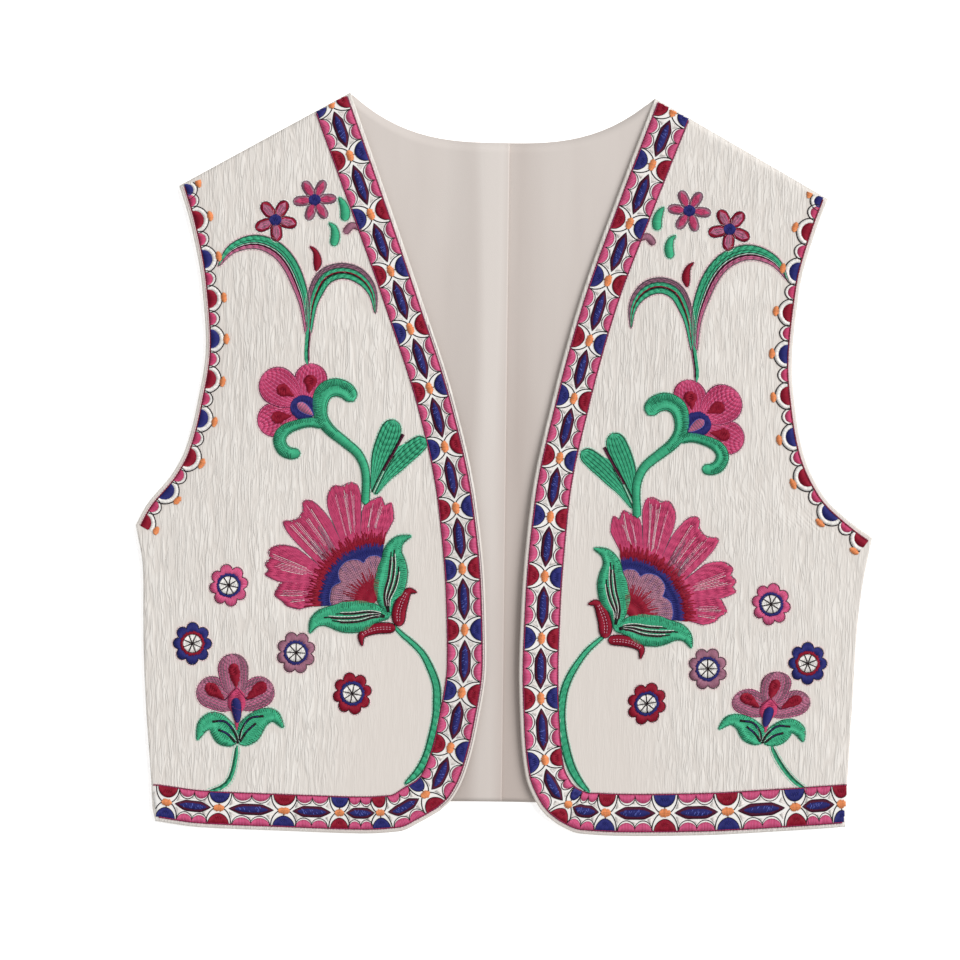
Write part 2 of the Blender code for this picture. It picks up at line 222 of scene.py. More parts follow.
def frontLine(side):
    # the front edge from the neck down, round the corner and along the hem, a little past the side
    edge, hem = outline[side]["frontEdge"], outline[side]["frontHem"]
    heights = np.linspace(edge[-1][1], edge[0][1], border["samples"])
    overrun = outline[side]["sign"] * border["overrun"]
    widths = np.linspace(hem[-1][0], hem[0][0] + overrun, border["samples"])[1:]
    return np.vstack([pairs(innerX(side, heights), heights), pairs(widths, hemY(side, widths))])


def armholeLine(side):
    # the armhole from the shoulder tip down to the underarm
    table = outline[side]["armhole"]
    heights = np.linspace(table[-1][1], table[0][1], border["samples"])
    return pairs(xOn(side, "armhole", heights), heights)


def bandEnds(ends, total, d):
    # where a band starts and stops along its line, at a distance in from it
    return ends["startInset"] + ends["startSkew"] * d, total - ends["endInset"] + ends["endSkew"] * d


def bandChart(side, line, turn, ends, narrowing=((0, 1), (1, 1))):
    # takes a length along the line and a distance in from it to x and y; past the line's ends it gives none
    lengths = travelled(line)
    knots, shares = np.transpose(narrowing)
    reach, near = border["directionReach"], border["near"]

    def place(points):
        s, d = points[:, 0], points[:, 1]
        ahead = along(line, lengths, s + reach) - along(line, lengths, s - reach)
        ahead /= np.linalg.norm(ahead, axis=1)[:, None]
        inward = turn * outline[side]["sign"] * pairs(-ahead[:, 1], ahead[:, 0])
        depth = near + (d - near) * smoothLine(knots, shares, s)
        xy = along(line, lengths, s) + inward * depth[:, None]
        start, stop = bandEnds(ends, lengths[-1], d)
        xy[(s < start) | (s > stop)] = np.nan
        return xy

    return place, lengths[-1]


def flowerChart(side, shift=(0, 0), stretch=(1, 1), about=(0, 0)):
    # the flowers are drawn on the left front, and on the right they are mirrored about the opening's middle
    def place(points):
        if side == "left":
            return points.copy()
        moved = np.array(about) + (points - about) * stretch
        y = moved[:, 1]
        return pairs(innerX("left", y) + innerX("right", y) - moved[:, 0] + shift[0], y + shift[1])

    return place


# Colours of the threads, and the finish that they share.
threads = {
    "white": "#F1EEEA", "blush": "#EFD3D6", "mint": "#BFE3D2", "green": "#45B489", "leafShade": "#1B6B4E",
    "pink": "#C54670", "deepPink": "#AE3660", "rose": "#D96C98", "palePink": "#EBB3C6", "crimson": "#93132E",
    "plum": "#561734", "navy": "#2B2D74", "blue": "#6874C8", "mauve": "#A06C80", "smoke": "#6A5160",
    "orange": "#E8945F", "grey": "#E2DCD7", "black": "#211519",
}
stitching = {
    "pitch": 0.6,          # how far apart satin stitches lie
    "width": 0.78,         # a thread's width on the cloth
    "height": 0.30,        # half of a thread's height
    "longest": 7.0,        # longer spans are split, as a hand or a machine would
    "advance": 2.2,        # length of an outline stitch
    "toneSpread": 0.11,    # how much lighter or darker single stitches are
    "unevenness": 0.03,    # how much higher or lower single stitches lie
    "overlong": 1.04, "overwide": 1.15,    # so that neighbours touch
    "sag": 0.2,            # how far a stitch sinks where the cloth bulges under its middle
    "stagger": 0.22,       # how far the joins of split spans shift from one stitch to the next
    "over": 0.07,          # how far outline stitches run past each other, as a share
    "shortest": 0.8,       # a line shorter than this gets no stitch
    "rowStagger": 0.38, "rowShift": 0.6,    # where the next row's stitches start, and how unevenly
    "darkOut": 0.2, "darkAdvance": 1.7,     # the dark outline of a shape
    "haloOut": 0.95, "haloWidth": 0.75, "haloLift": 0.08,    # and the pale one outside it
    "plyTurns": 9.0,       # turns of a thread's twist along 1 mm, in radians
}


def newWork():
    return {"from": [], "to": [], "width": [], "lift": [], "thread": []}


def addStitches(work, starts, ends, thread, width, lift):
    work["from"].append(starts)
    work["to"].append(ends)
    work["width"].append(np.broadcast_to(width, len(starts)))
    work["lift"].append(np.broadcast_to(lift, len(starts)))
    work["thread"].append(np.full(len(starts), list(threads).index(thread)))


def satin(work, near, far, thread, shares=(0, 1), lift=0.12, ragged=0.12, pitch=None, second=None,
          width=None):
    # fills between two lines with stitches from one to the other; second is a thread and how often it comes
    a, b = blend(near, far, shares[0]), blend(near, far, shares[1])
    steps = np.maximum(*(np.linalg.norm(np.diff(line, axis=0), axis=1) for line in (a, b)))
    lengths = np.concatenate(([0], np.cumsum(steps)))
    pitch = pitch or stitching["pitch"]
    count = max(2, round(lengths[-1] / pitch))
    at = (np.arange(count) + 0.5) / count * lengths[-1]
    p, q = along(a, lengths, at), along(b, lengths, at)
    span = np.linalg.norm(q - p, axis=1)
    tips = ragged * dice.uniform(-1, 1, (2, count)) / np.maximum(span, 0.5)
    pieces = np.maximum(1, np.ceil(span / stitching["longest"])).astype(int)
    width = width or max(stitching["width"], 1.25 * lengths[-1] / count)
    order = np.arange(count)
    for number in np.unique(pieces):
        chosen = pieces == number
        cuts = np.tile(np.linspace(0, 1, number + 1), (chosen.sum(), 1))
        cuts[:, 1:-1] += (((order[chosen] % 3) - 1) * stitching["stagger"] / number)[:, None]
        cuts[:, 0] += tips[0, chosen]
        cuts[:, -1] += tips[1, chosen]
        for k in range(number):
            starts = blend(p[chosen], q[chosen], cuts[:, k:k + 1])
            ends = blend(p[chosen], q[chosen], cuts[:, k + 1:k + 2])
            if second:
                picked = order[chosen] % second[1] == 0
                addStitches(work, starts[picked], ends[picked], second[0], width, lift)
                starts, ends = starts[~picked], ends[~picked]
            addStitches(work, starts, ends, thread, width, lift)


def seam(work, points, thread, width=0.7, advance=None, lift=0.3, start=0.0):
    # a line of stem stitch along the points
    lengths = travelled(points)
    if lengths[-1] < stitching["shortest"]:
        return
    count = max(1, round((lengths[-1] - start) / (advance or stitching["advance"])))
    at = np.linspace(start, lengths[-1], count + 1)
    if start > 0.5:
        at = np.concatenate(([0], at))
    p = along(points, lengths, at)
    starts, ends = p[:-1], p[1:]
    over = (ends - starts) * stitching["over"]
    addStitches(work, starts - over, ends + over, thread, width, lift)


def rows(work, near, far, thread, shares=(0, 1), spacing=0.62, advance=4.6, lift=0.12, second=None):
    # fills between two lines with rows of long stitches that run along them
    width = np.linalg.norm(far - near, axis=1).max() * (shares[1] - shares[0])
    count = max(1, round(width / spacing))
    for i in range(count):
        share = blend(shares[0], shares[1], (i + 0.5) / count)
        chosen = second[0] if second and i % second[1] == 0 else thread
        offset = (stitching["rowStagger"] * i % 1) * advance + dice.uniform(0, stitching["rowShift"])
        seam(work, blend(near, far, share), chosen, stitching["width"], advance, lift, offset)


def curveThrough(points, count=60):
    # a smooth curve through the points, evenly sampled
    points = np.asarray(points, float)
    if len(points) == 2:
        return blend(points[0], points[1], np.linspace(0, 1, count)[:, None])
    knots = travelled(points)
    lean = np.empty_like(points)
    lean[1:-1] = (points[2:] - points[:-2]) / (knots[2:] - knots[:-2])[:, None]
    lean[0] = (points[1] - points[0]) / knots[1]
    lean[-1] = (points[-1] - points[-2]) / (knots[-1] - knots[-2])
    at = np.linspace(0, knots[-1], count)
    i = np.clip(np.searchsorted(knots, at) - 1, 0, len(knots) - 2)
    h = (knots[i + 1] - knots[i])[:, None]
    t = (at - knots[i])[:, None] / h
    return ((2 * t ** 3 - 3 * t ** 2 + 1) * points[i] + (t ** 3 - 2 * t ** 2 + t) * h * lean[i]
            + (3 * t ** 2 - 2 * t ** 3) * points[i + 1] + (t ** 3 - t ** 2) * h * lean[i + 1])


def leafSides(spine, widths, count=60):
    # the two sides of a leaf or petal about its spine, with round ends where the width doesn't run out
    line = curveThrough(spine, count)
    lengths = travelled(line)
    total = lengths[-1]
    width = smoothLine(np.linspace(0, total, len(widths)), widths, lengths)
    fromEnd = np.minimum(lengths, total - lengths)
    close = np.clip(fromEnd / np.maximum(width / 2, 0.05), 0, 1)
    half = width / 2 * np.sqrt(1 - (1 - close) ** 2)
    ahead = np.gradient(line, axis=0)
    ahead /= np.linalg.norm(ahead, axis=1)[:, None]
    across = pairs(-ahead[:, 1], ahead[:, 0]) * half[:, None]
    return line + across, line - across


def closedLine(near, far):
    return np.vstack([near, far[::-1], near[:1]])


def widened(line, by):
    # a closed line moved outwards by a distance
    core = line[:-1]
    x, y = core.T
    turn = np.sign(np.sum(x * np.roll(y, -1) - y * np.roll(x, -1)))
    ahead = np.roll(core, -1, axis=0) - np.roll(core, 1, axis=0)
    ahead /= np.maximum(np.linalg.norm(ahead, axis=1), 1e-6)[:, None]
    moved = core + by * turn * pairs(ahead[:, 1], -ahead[:, 0])
    return np.vstack([moved, moved[:1]])


def edged(work, near, far, dark, halo="blush", darkWidth=0.5, lift=0.32):
    # a fine dark outline round a shape, and a paler one outside it
    line = closedLine(near, far)
    if dark:
        seam(work, widened(line, stitching["darkOut"]), dark, darkWidth, stitching["darkAdvance"], lift)
    if halo:
        outer = widened(line, stitching["haloOut"])
        seam(work, outer, halo, stitching["haloWidth"], lift=stitching["haloLift"])


def disc(centre, across, up=None, count=40):
    # the upper and lower arcs of an ellipse
    t = np.linspace(0, np.pi, count)
    rise = (across if up is None else up) * np.sin(t)
    return [pairs(centre[0] + across * np.cos(t), centre[1] + sign * rise) for sign in (1, -1)]


def polar(centre, radius, angles):
    # points round a centre; angles in degrees
    turn = np.radians(angles)
    return pairs(centre[0] + radius * np.cos(turn), centre[1] + radius * np.sin(turn))


# The worked border and the sizes of its repeat.
border = {
    "near": 3.3, "far": 26.2, "repeat": 41, "overrun": 10, "directionReach": 18, "samples": 400,
    # how wide it is along the front edge, then along each hem, as shares
    "narrowing": [(0, 1), (60, 0.974), (150, 0.926), (240, 0.934), (330, 0.99), (470, 1)],
    "hemWidth": {"left": [(560, 0.94), (720, 0.92)], "right": [(540, 1.09), (720, 1.09)]},
    # how far along the front edge and the hem each dot lies
    "dots": {
        "left": [2.9, 40.6, 82.7, 123.4, 164.7, 207.5, 248.9, 292.4, 334.5, 376.5, 421.5, 461.4, 507,
            549.1, 578.4, 616.2, 660.4, 696.7],
        "right": [4.3, 43.1, 85.5, 127.2, 170.3, 211.3, 253, 294.7, 335.6, 378.1, 419.7, 463.6, 510.3,
            545.5, 586.5, 629.6, 675.6, 706.5],
    },
    "ends": {
        "left": {"startInset": 0.5, "startSkew": 0.17, "endInset": 11, "endSkew": 0.23},
        "right": {"startInset": 0.5, "startSkew": 0.17, "endInset": 11, "endSkew": 0.12},
    },
    "halfDisc": (7.2, 7.7), "arcLine": (8.8, 12.2), "scallop": (5.7, 5.2), "scallopLine": (6.3, 6.7),
    "scallopOffset": 5.7, "lozengeStart": 6.5, "lozengeHalf": 3.9, "lozengePoint": 0.27, "coreStart": 10.2,
    "coreHalf": 2.3, "dot": (3.8, 2.5), "dotTuft": [(9.3, 7), (7.2, 2.2), (11.8, 4)],
    # last on the next line: where the painted shadow line along the left front's edge starts and stops, and
    # how far in it lies
    "sideTuft": [(0, 8.3), (-2.4, 5.6), (2.4, 5.6)], "edgeShadowLine": (165, 505, 1.5),
    "ground": {"lengths": 300, "across": 12, "lift": 0.12, "wall": 0.3, "colour": "#EDEAE5",
        "low": "#E6E2DD", "high": "#F8F6F3", "grain": (900, 900, 900), "relief": (0.5, 0.3)},
}


def archSides(centre, base, direction, halfWidth, reach, squareness=2.0, count=32):
    # a base line and an arch over it, in a band's lengths and distances
    t = np.linspace(-1, 1, count)
    arch = base + direction * reach * (1 - abs(t) ** squareness) ** 0.5
    return pairs(centre + halfWidth * t, base), pairs(centre + halfWidth * t, arch)


def tuft(work, points):
    # a three-cornered patch of bare crepe between the stitches
    first, second, third = np.array(points, float)
    share = np.linspace(0, 1, 12)[:, None]
    satin(work, blend(first, second, share), blend(first, third, share), "grey", lift=0.14, pitch=0.5)


def borderDot(work, s, number, size):
    # a dot, the half discs on its two sides and the arcs that meet at it
    near, far = border["near"], border["far"]
    middle = (near + far) / 2
    sides = ((near, 1, ("crimson", "navy")[number % 2], 1.7), (far, -1, ("navy", "crimson")[number % 2], 2.1))
    for base, direction, thread, squareness in sides:
        disk = archSides(s, base, direction, border["halfDisc"][0] * size, border["halfDisc"][1], squareness)
        satin(work, *disk, thread, lift=0.3, pitch=0.52)
        seam(work, disk[1], "black", 0.52, 1.8, 0.46)
        arc = archSides(s, base, direction, border["arcLine"][0] * size, border["arcLine"][1], 1.9)[1]
        arc[:, 1] = arc[:, 1].clip(near, middle) if direction > 0 else arc[:, 1].clip(middle, far)
        seam(work, arc, "black", 0.72, 1.9, 0.4)
        for way in (-1, 1):
            tuft(work, [(s + way * ds * size, middle - direction * dd) for ds, dd in border["dotTuft"]])
    navyTop = near + border["halfDisc"][1] if number % 2 else far - border["halfDisc"][1]
    seam(work, np.array([(s, middle), (s, navyTop)]), "black", 0.6, 1.4, 0.4)
    satin(work, *disc((s, middle), border["dot"][0] * size, border["dot"][1]), "orange", lift=0.5, ragged=0.5,
          pitch=0.5)


def borderLozenge(work, s0, s1):
    # a lozenge between two dots, with two scallops on each side of it
    near, far = border["near"], border["far"]
    middle, centre = (near + far) / 2, (s0 + s1) / 2
    size = min(1.1, (s1 - s0) / border["repeat"])
    t = np.linspace(0, 1, 60)
    s = blend(s0 + border["lozengeStart"] * size, s1 - border["lozengeStart"] * size, t)
    half = border["lozengeHalf"] * np.clip(np.minimum(t, 1 - t) / border["lozengePoint"], 0, 1) ** 0.85
    upper, lower = pairs(s, middle + half), pairs(s, middle - half)
    satin(work, upper, lower, "plum", lift=0.24, pitch=0.52)
    for line in (upper, lower):
        seam(work, line, "black", 0.4, 2.0, 0.42)
    coreStart, coreEnd = s0 + border["coreStart"] * size, s1 - border["coreStart"] * size
    widths = [1.2, 4.0, 2 * border["coreHalf"], 4.0, 1.2]
    core = leafSides([(coreStart, middle), (coreEnd, middle)], widths, 40)
    satin(work, *core, "navy", lift=0.46, pitch=0.52)
    for _ in range(13):
        fleck = np.array([dice.uniform(coreStart + 2, coreEnd - 3), middle + dice.uniform(-2.0, 1.0)])
        fleck = np.array([fleck, fleck + (dice.uniform(0.2, 1.0), dice.uniform(0.9, 1.5))])
        seam(work, fleck, "blue", 0.36, 4, 0.68)
    for base, direction in ((near, 1), (far, -1)):
        for offset in (-1, 1):
            place = centre + offset * border["scallopOffset"] * size
            halfWidth, reach = border["scallop"]
            shape = archSides(place, base, direction, halfWidth * size, reach, count=24)
            satin(work, *shape, "pink", lift=0.28, pitch=0.52, second=("rose", 2))
            seam(work, shape[1], "deepPink", 0.4, 1.8, 0.42)
            halfWidth, reach = border["scallopLine"]
            arc = archSides(place, base, direction, halfWidth * size, reach)[1]
            seam(work, arc, "black", 0.58, 1.8, 0.36)
        tuft(work, [(centre + ds * size, middle - direction * dd) for ds, dd in border["sideTuft"]])


def borderWork(side):
    # the whole border in lengths along the front edge and distances in from it
    work, dots = newWork(), border["dots"][side]
    for i, s in enumerate(dots):
        gaps = [abs(s - dots[j]) for j in (i - 1, i + 1) if 0 <= j < len(dots)]
        borderDot(work, s, i, min(1.04, np.mean(gaps) / border["repeat"]))
    for s0, s1 in zip(dots, dots[1:]):
        borderLozenge(work, s0, s1)
    lengths = np.linspace(0, dots[-1] + 30, 900)
    for base, out in ((border["near"], -1), (border["far"], 1)):
        for offset, thread, width, lift in ((0, "deepPink", 0.62, 0.5), (0.4, "plum", 0.36, 0.56),
                                            (1.0, "blush", 0.6, 0.1)):
            seam(work, pairs(lengths, base + out * offset), thread, width, 2.0, lift)
    if side == "left":
        # a painted shadow line along the folded-back edge, laid as a fine dark seam; it shows on this side
        start, stop, inset = border["edgeShadowLine"]
        seam(work, pairs(lengths[(lengths > start) & (lengths < stop)], inset), "smoke", 0.3, 2.0, 0.1)
    return work


# The scalloped edging of the armholes.
edging = {
    "near": 3.3, "pitchShare": 0.11, "first": 25.4, "topShift": 6, "topSize": 0.68,
    "ends": {"startInset": 0.6, "startSkew": 0, "endInset": 1.2, "endSkew": 0},
    "big": (6.2, 6.3), "bigLine": (9.4, 9.7), "dotReach": 10.9, "dot": (3.1, 2), "small": (4.2, 4.6),
    "smallLine": (5.6, 6.8), "topDot": (3.4, -1.2),
}


def edgingWork(total):
    # the scallops in lengths down from the shoulder and distances in from the armhole
    work, near = newWork(), edging["near"]
    pitch = edging["pitchShare"] * total
    start = edging["first"] - pitch
    for i in range(int((total - start) / pitch) + 1):
        for offset, kind, thread in ((0, "big", ("navy", "crimson")[i % 2]), (0.5, "small", "pink")):
            top = i + offset == 0
            size = edging["topSize"] if top else 1
            at = start + pitch * (i + offset) + edging["topShift"] * top
            both = (edging[kind], 2.0), (edging[kind + "Line"], 1.9)
            shape, line = (archSides(at, near, 1, half * size, reach * size ** 0.5, squareness)
                           for (half, reach), squareness in both)
            satin(work, shape[1], line[1], "white", (0, 0.9), lift=0.12)
            satin(work, *shape, thread, lift=0.24, pitch=0.52)
            seam(work, line[1], "black", 0.72, 1.7, 0.36)
        x, y = edging["topDot"] if i == 0 else (0, 0)
        dot = disc((start + pitch * i + x, near + edging["dotReach"] + y), *edging["dot"])
        satin(work, *dot, "orange", lift=0.46, ragged=0.3, pitch=0.5)
    ends = np.linspace(0, total + 8, 500)
    for aside, thread, width in ((-0.8, "blush", 0.6), (-0.1, "crimson", 0.5), (0.3, "plum", 0.36)):
        seam(work, pairs(ends, near + aside), thread, width, 1.9, 0.4)
    return work


# The flowers of the left front, as places and sizes in the part's frame.
flowers = {
    "stars": {
        "plumStar": {"at": (-158.4, 164.9), "angles": [61, 128, 205, 275, 349], "reach": 14.4,
            "width": 7.2, "rim": "crimson", "fill": "mauve", "light": "rose"},
        "pinkStar": {"at": (-132.1, 178.9), "angles": [122, 65, 5, -57, -108, 186], "reach": 14.3,
            "width": 6, "rim": "mauve", "fill": "pink", "light": "deepPink"},
    },
    "rosettes": {
        "pinkRosette": {"at": (-185.6, -82.4), "fill": "pink", "ring": "navy", "turn": 10},
        "navyRosette": {"at": (-209.5, -122.1), "fill": "navy", "ring": "crimson", "turn": 0},
        "mauveRosette": {"at": (-139.4, -127), "fill": "mauve", "ring": "navy", "turn": 20},
        "crimsonRosette": {"at": (-100.9, -153.9), "fill": "crimson", "ring": "navy", "turn": 12},
    },
    "rosetteSizes": {"reach": (13, 14.2), "lobe": 4, "ring": (6, 8.2), "eye": 6.3, "fillFrom": 7.4,
        "wheel": 6.2},
    # spine, widths and thread
    "commas": {
        "upperComma": ([(-115.8, 180.7), (-113.1, 176.9), (-111.3, 171.5), (-111.7, 165.4)],
            [1, 4.5, 5.8, 5.6], "green"),
        "lowerComma": ([(-122.1, 163.5), (-119, 160.5), (-117.7, 155.1), (-118.9, 148.3)],
            [0.8, 4, 5.4, 5], "green"),
        "mauveComma": ([(-100.3, 158.7), (-102.8, 160.9), (-107.1, 161.8), (-111.4, 156.8)],
            [1, 3.4, 4.2, 4.2], "mauve"),
        "crimsonComma": ([(-134.6, 147.4), (-131.1, 144), (-129.4, 137.8), (-130.2, 130.8)],
            [0.6, 3.2, 5, 1.4], "crimson"),
    },
    # spine, widths, whether its sides are swapped, and its bands from the outer side of the bend to the
    # inner one: from and to as shares of the width, the thread and the one laid between
    "blades": {
        "longBlade": ([(-135.3, 87.3), (-137.6, 107.5), (-141.5, 120.6), (-147.6, 134), (-155.1, 143.2),
            (-163.7, 148.2), (-172.3, 149.9), (-180.8, 148.2), (-189.2, 143.4), (-196.6, 132.9)],
            [2.6, 4.6, 7, 9, 9.8, 9.9, 9.4, 8, 5.2, 0.8], True, [(0, 0.5, "green", None),
            (0.5, 0.62, "mint", "black"), (0.62, 0.74, "black", "plum"), (0.74, 1, "mauve", "rose")]),
        "shortBlade": ([(-134.4, 87.4), (-133.1, 106), (-130.2, 116.9), (-125, 126.3), (-118.1, 130.3),
            (-110.7, 131.2), (-102.9, 129), (-95.8, 123.3), (-91.4, 115.2), (-89.8, 102.9)],
            [2.6, 5, 7, 9.8, 10.8, 10.2, 9.8, 7.6, 4.2, 0.8], False, [(0, 0.28, "mauve", "smoke"),
            (0.28, 0.52, "green", None), (0.52, 0.66, "black", "crimson"), (0.66, 1, "green", None)]),
    },
    "bladeStem": ([(-134.5, 92.4), (-135.2, 81.1), (-135.5, 74.9), (-134.8, 67)], [3.6, 3.4, 3.3, 3.2]),
    "trefoil": {
        "petals": [
            ([(-141, 37), (-157.5, 29.6), (-167, 25.4)], [10, 20, 22.8, 22.8]),
            ([(-135.5, 42), (-132.6, 57.6), (-131.6, 68)], [9, 19, 21.5, 21.5]),
            ([(-140, 42), (-155.3, 52.9), (-165.2, 59.4)], [11, 22, 25.5, 25.5]),
        ],
        "drops": [
            ([(-143.6, 46.2), (-154.9, 51.8)], [0.8, 4.6, 8.6, 9]),
            ([(-133.7, 48.6), (-132.2, 60.4)], [0.8, 5.2, 9.2, 9.6]),
            ([(-145.3, 32.9), (-158.3, 31)], [0.8, 4.6, 8.6, 9]),
        ],
        "heart": (-137, 38.6),
        "heartSize": (8.8, 8.4),
        "seed": ([(-141, 41.2), (-130.6, 33.4)], [5, 6.2, 4.6, 0.8]),
        "stitches": {
            "rim": 0.5,
            "rows": {"thread": "pink", "advance": 3.2},
            "shadeLift": 0.42,
            "shade": {"thread": "deepPink", "depth": 0.13, "pitch": 1.3, "ragged": 0.6, "width": 0.5},
        },
    },
    # spine, widths, and where its short dark stitches start and stop along the curl
    "scrolls": [
        ([(-123.9, 26.6), (-131.6, 28.8), (-141.1, 26.9), (-149.6, 22.9), (-153, 16.8), (-150.3, 9.9),
            (-145, 7.4), (-139.2, 7.8)], [4, 5.6, 5.6, 6.4, 7.4, 7.4, 7, 5.4], (0.06, 0.92)),
        ([(-94.3, -26), (-94.4, -4.6), (-99.4, 7.4), (-109, 15.8), (-119.5, 24.2), (-125.2, 32.8),
            (-126, 42.2), (-123, 49.6), (-115.7, 52.6), (-107.9, 49.9), (-103.6, 43.5)],
            [5, 4.4, 4.6, 4.9, 5.4, 6, 7.2, 9.4, 11.2, 10.8, 8], (0.5, 0.97)),
    ],
    "leafPair": [
        ([(-89.9, -16.6), (-86.7, -2.7), (-83.1, 10.2), (-79.4, 19.8), (-75.6, 31)],
            [1.4, 7.4, 12.4, 14, 11.4]),
        ([(-87.7, -19.1), (-80.2, -6.1), (-70.9, 4.4), (-62.4, 12.3), (-54.4, 18.7)],
            [1.4, 6.6, 10.8, 11.6, 9]),
    ],
    "leafRib": [(-89.7, -17.6), (-82, -0.9), (-76.2, 9.5), (-69.9, 21.7)],
    "stem": {
        "left": [(-75.3, -106.2), (-67, -114.3), (-63.3, -117.1), (-54.2, -125.9), (-47.8, -137.5),
            (-44.2, -147.8), (-43.6, -158.1), (-43.8, -168.4), (-46.3, -182.3), (-50.2, -196.1),
            (-56.2, -206.6), (-64.3, -214.6)],
        "right": [(70.5, -110.4), (63.3, -116.5), (57.1, -122.4), (51.1, -130.6), (45.9, -139.5),
            (42.3, -149), (40.7, -158.5), (40.4, -168), (41.4, -177.4), (43.3, -186.8), (46.2, -196.9),
            (49.7, -204.9), (54.6, -212.3), (60.4, -218.1)],
    },
    "stemWidths": [1.4, 2.6, 3.2, 4, 4.5, 4.8, 5, 5.1, 5, 4.4, 1.6],
}

# How each group lies on the right front: moved, and stretched about a point of the left one.
rightPlaces = {
    "plumStar": ((2, -1),), "pinkStar": ((1, -2.9),), "pinkRosette": ((-4.8, -6.3),),
    "navyRosette": ((-3.8, -6.2),), "mauveRosette": ((-1.3, -6.1),), "crimsonRosette": ((-2.2, -3.4),),
    "upperComma": ((0, -2.7),), "lowerComma": ((1.8, -4.5),), "mauveComma": ((-2, -4),),
    "crimsonComma": ((1.7, -6.4),), "longBlade": ((-0.5, -7.4), (1.07, 1.1), (-134.5, 88)),
    "shortBlade": ((-0.5, -7.4), (0.92, 1.03), (-134.5, 88)),
    "bladeStem": ((-0.5, -7.4), (1, 0.98), (-134.5, 88)), "trefoil": ((-3.2, -6.6),),
    "scrolls": ((-3, -5.8),), "leafPair": ((0.6, -6.4),),
    "blossom": ((-2, -5.8), (0.972, 0.99), (-85.5, -92)), "lily": ((3.6, 6.8), (1, 0.8), (-178, -191.5)),
}

# The large blossom: angles in degrees and distances from the centre of its rings.
blossom = {
    "at": (-85.5, -92),
    # the petal's foot, from one angle to another, and its tip's angles and distances
    "petals": [
        ((163, 184), [(165, 56), (168, 65), (173, 67.5), (177, 69), (180, 64), (183, 61), (186, 53)]),
        ((149, 163), [(147, 65), (149, 72), (152, 78), (156, 80.5), (158.5, 77.5), (162, 79.5),
            (164.5, 76), (167, 77.5), (169, 68)]),
        ((122, 149), [(120.5, 63), (121.8, 73), (123.8, 81), (127, 84), (130, 79), (134, 77.5),
            (137.5, 79.5), (140.2, 83), (142.6, 77), (144.5, 66)]),
        ((106, 122), [(99.5, 72), (100.5, 80), (104, 82.5), (108, 81.5), (111, 83.5), (115, 80),
            (117.3, 75), (119, 67)]),
        ((85, 106), [(79.5, 57), (81, 63), (83, 67.5), (86, 65.5), (89, 71), (93, 69), (97, 67.5),
            (100, 62)]),
    ],
    "ringFoot": 43, "crimsonRing": (37, 44, 5), "navyRing": (24, 38.8), "ringAngles": (84, 185),
    "heart": [(84, 30), (92, 31.5), (99, 31.5), (105, 30), (109, 28), (113, 30.5), (120, 33), (131, 34.5),
        (141, 33.5), (148, 30.5), (152, 28), (157, 30), (165, 32), (176, 32), (185, 31)],
    "core": (17.5, 6),
    # angle and half width of each bundle of pale lines, then of dark ones
    "streaks": [(161, 1.6), (157, 0.8), (176, 1.4), (181, 0.6), (103, 0.8), (107, 1.4), (112, 0.6),
        (88, 1.4), (93, 0.8), (139, 0.5), (126.5, 0.5), (131, 1), (136, 0.8)],
    "shade": [(129, 2.4), (137, 3.2)],
    # how far apart a bundle's lines are, where they start, and how far short of the tip they stop
    "streakLines": (0.8, 47, 2), "shadeLines": (0.55, 45, 12),
    # spine, widths, and veins: how far across the leaf and how far along it
    "leaves": [
        ([(-77, -102), (-87.6, -100), (-99.6, -101.9), (-110.2, -102.4), (-120.7, -102.6), (-126.7, -106),
            (-130.3, -113.5)], [2, 13, 21, 20.5, 14, 8.2, 0.6], [(0.3, 0.66), (0.46, 0.76), (0.63, 0.62)]),
        ([(-77, -101.6), (-79.2, -89.6), (-76, -76), (-75, -66.2), (-75, -57.1), (-71.1, -50.3),
            (-62.9, -46.8)], [2, 10.5, 21, 20.3, 13.8, 7.5, 0.6], [(0.4, 0.72), (0.57, 0.76),
            (0.74, 0.58)]),
    ],
    "sepals": [
        ([(-70.1, -107.6), (-70.3, -98.5), (-67.4, -89.4), (-63.8, -84.1), (-58.5, -84.9)],
            [6, 8.8, 8, 5.2, 0.6]),
        ([(-72.7, -109.3), (-82.2, -109.3), (-90.4, -111.2), (-95.3, -114.8), (-94.8, -121.7)],
            [5.4, 6.8, 6.4, 4.4, 0.6]),
    ],
}

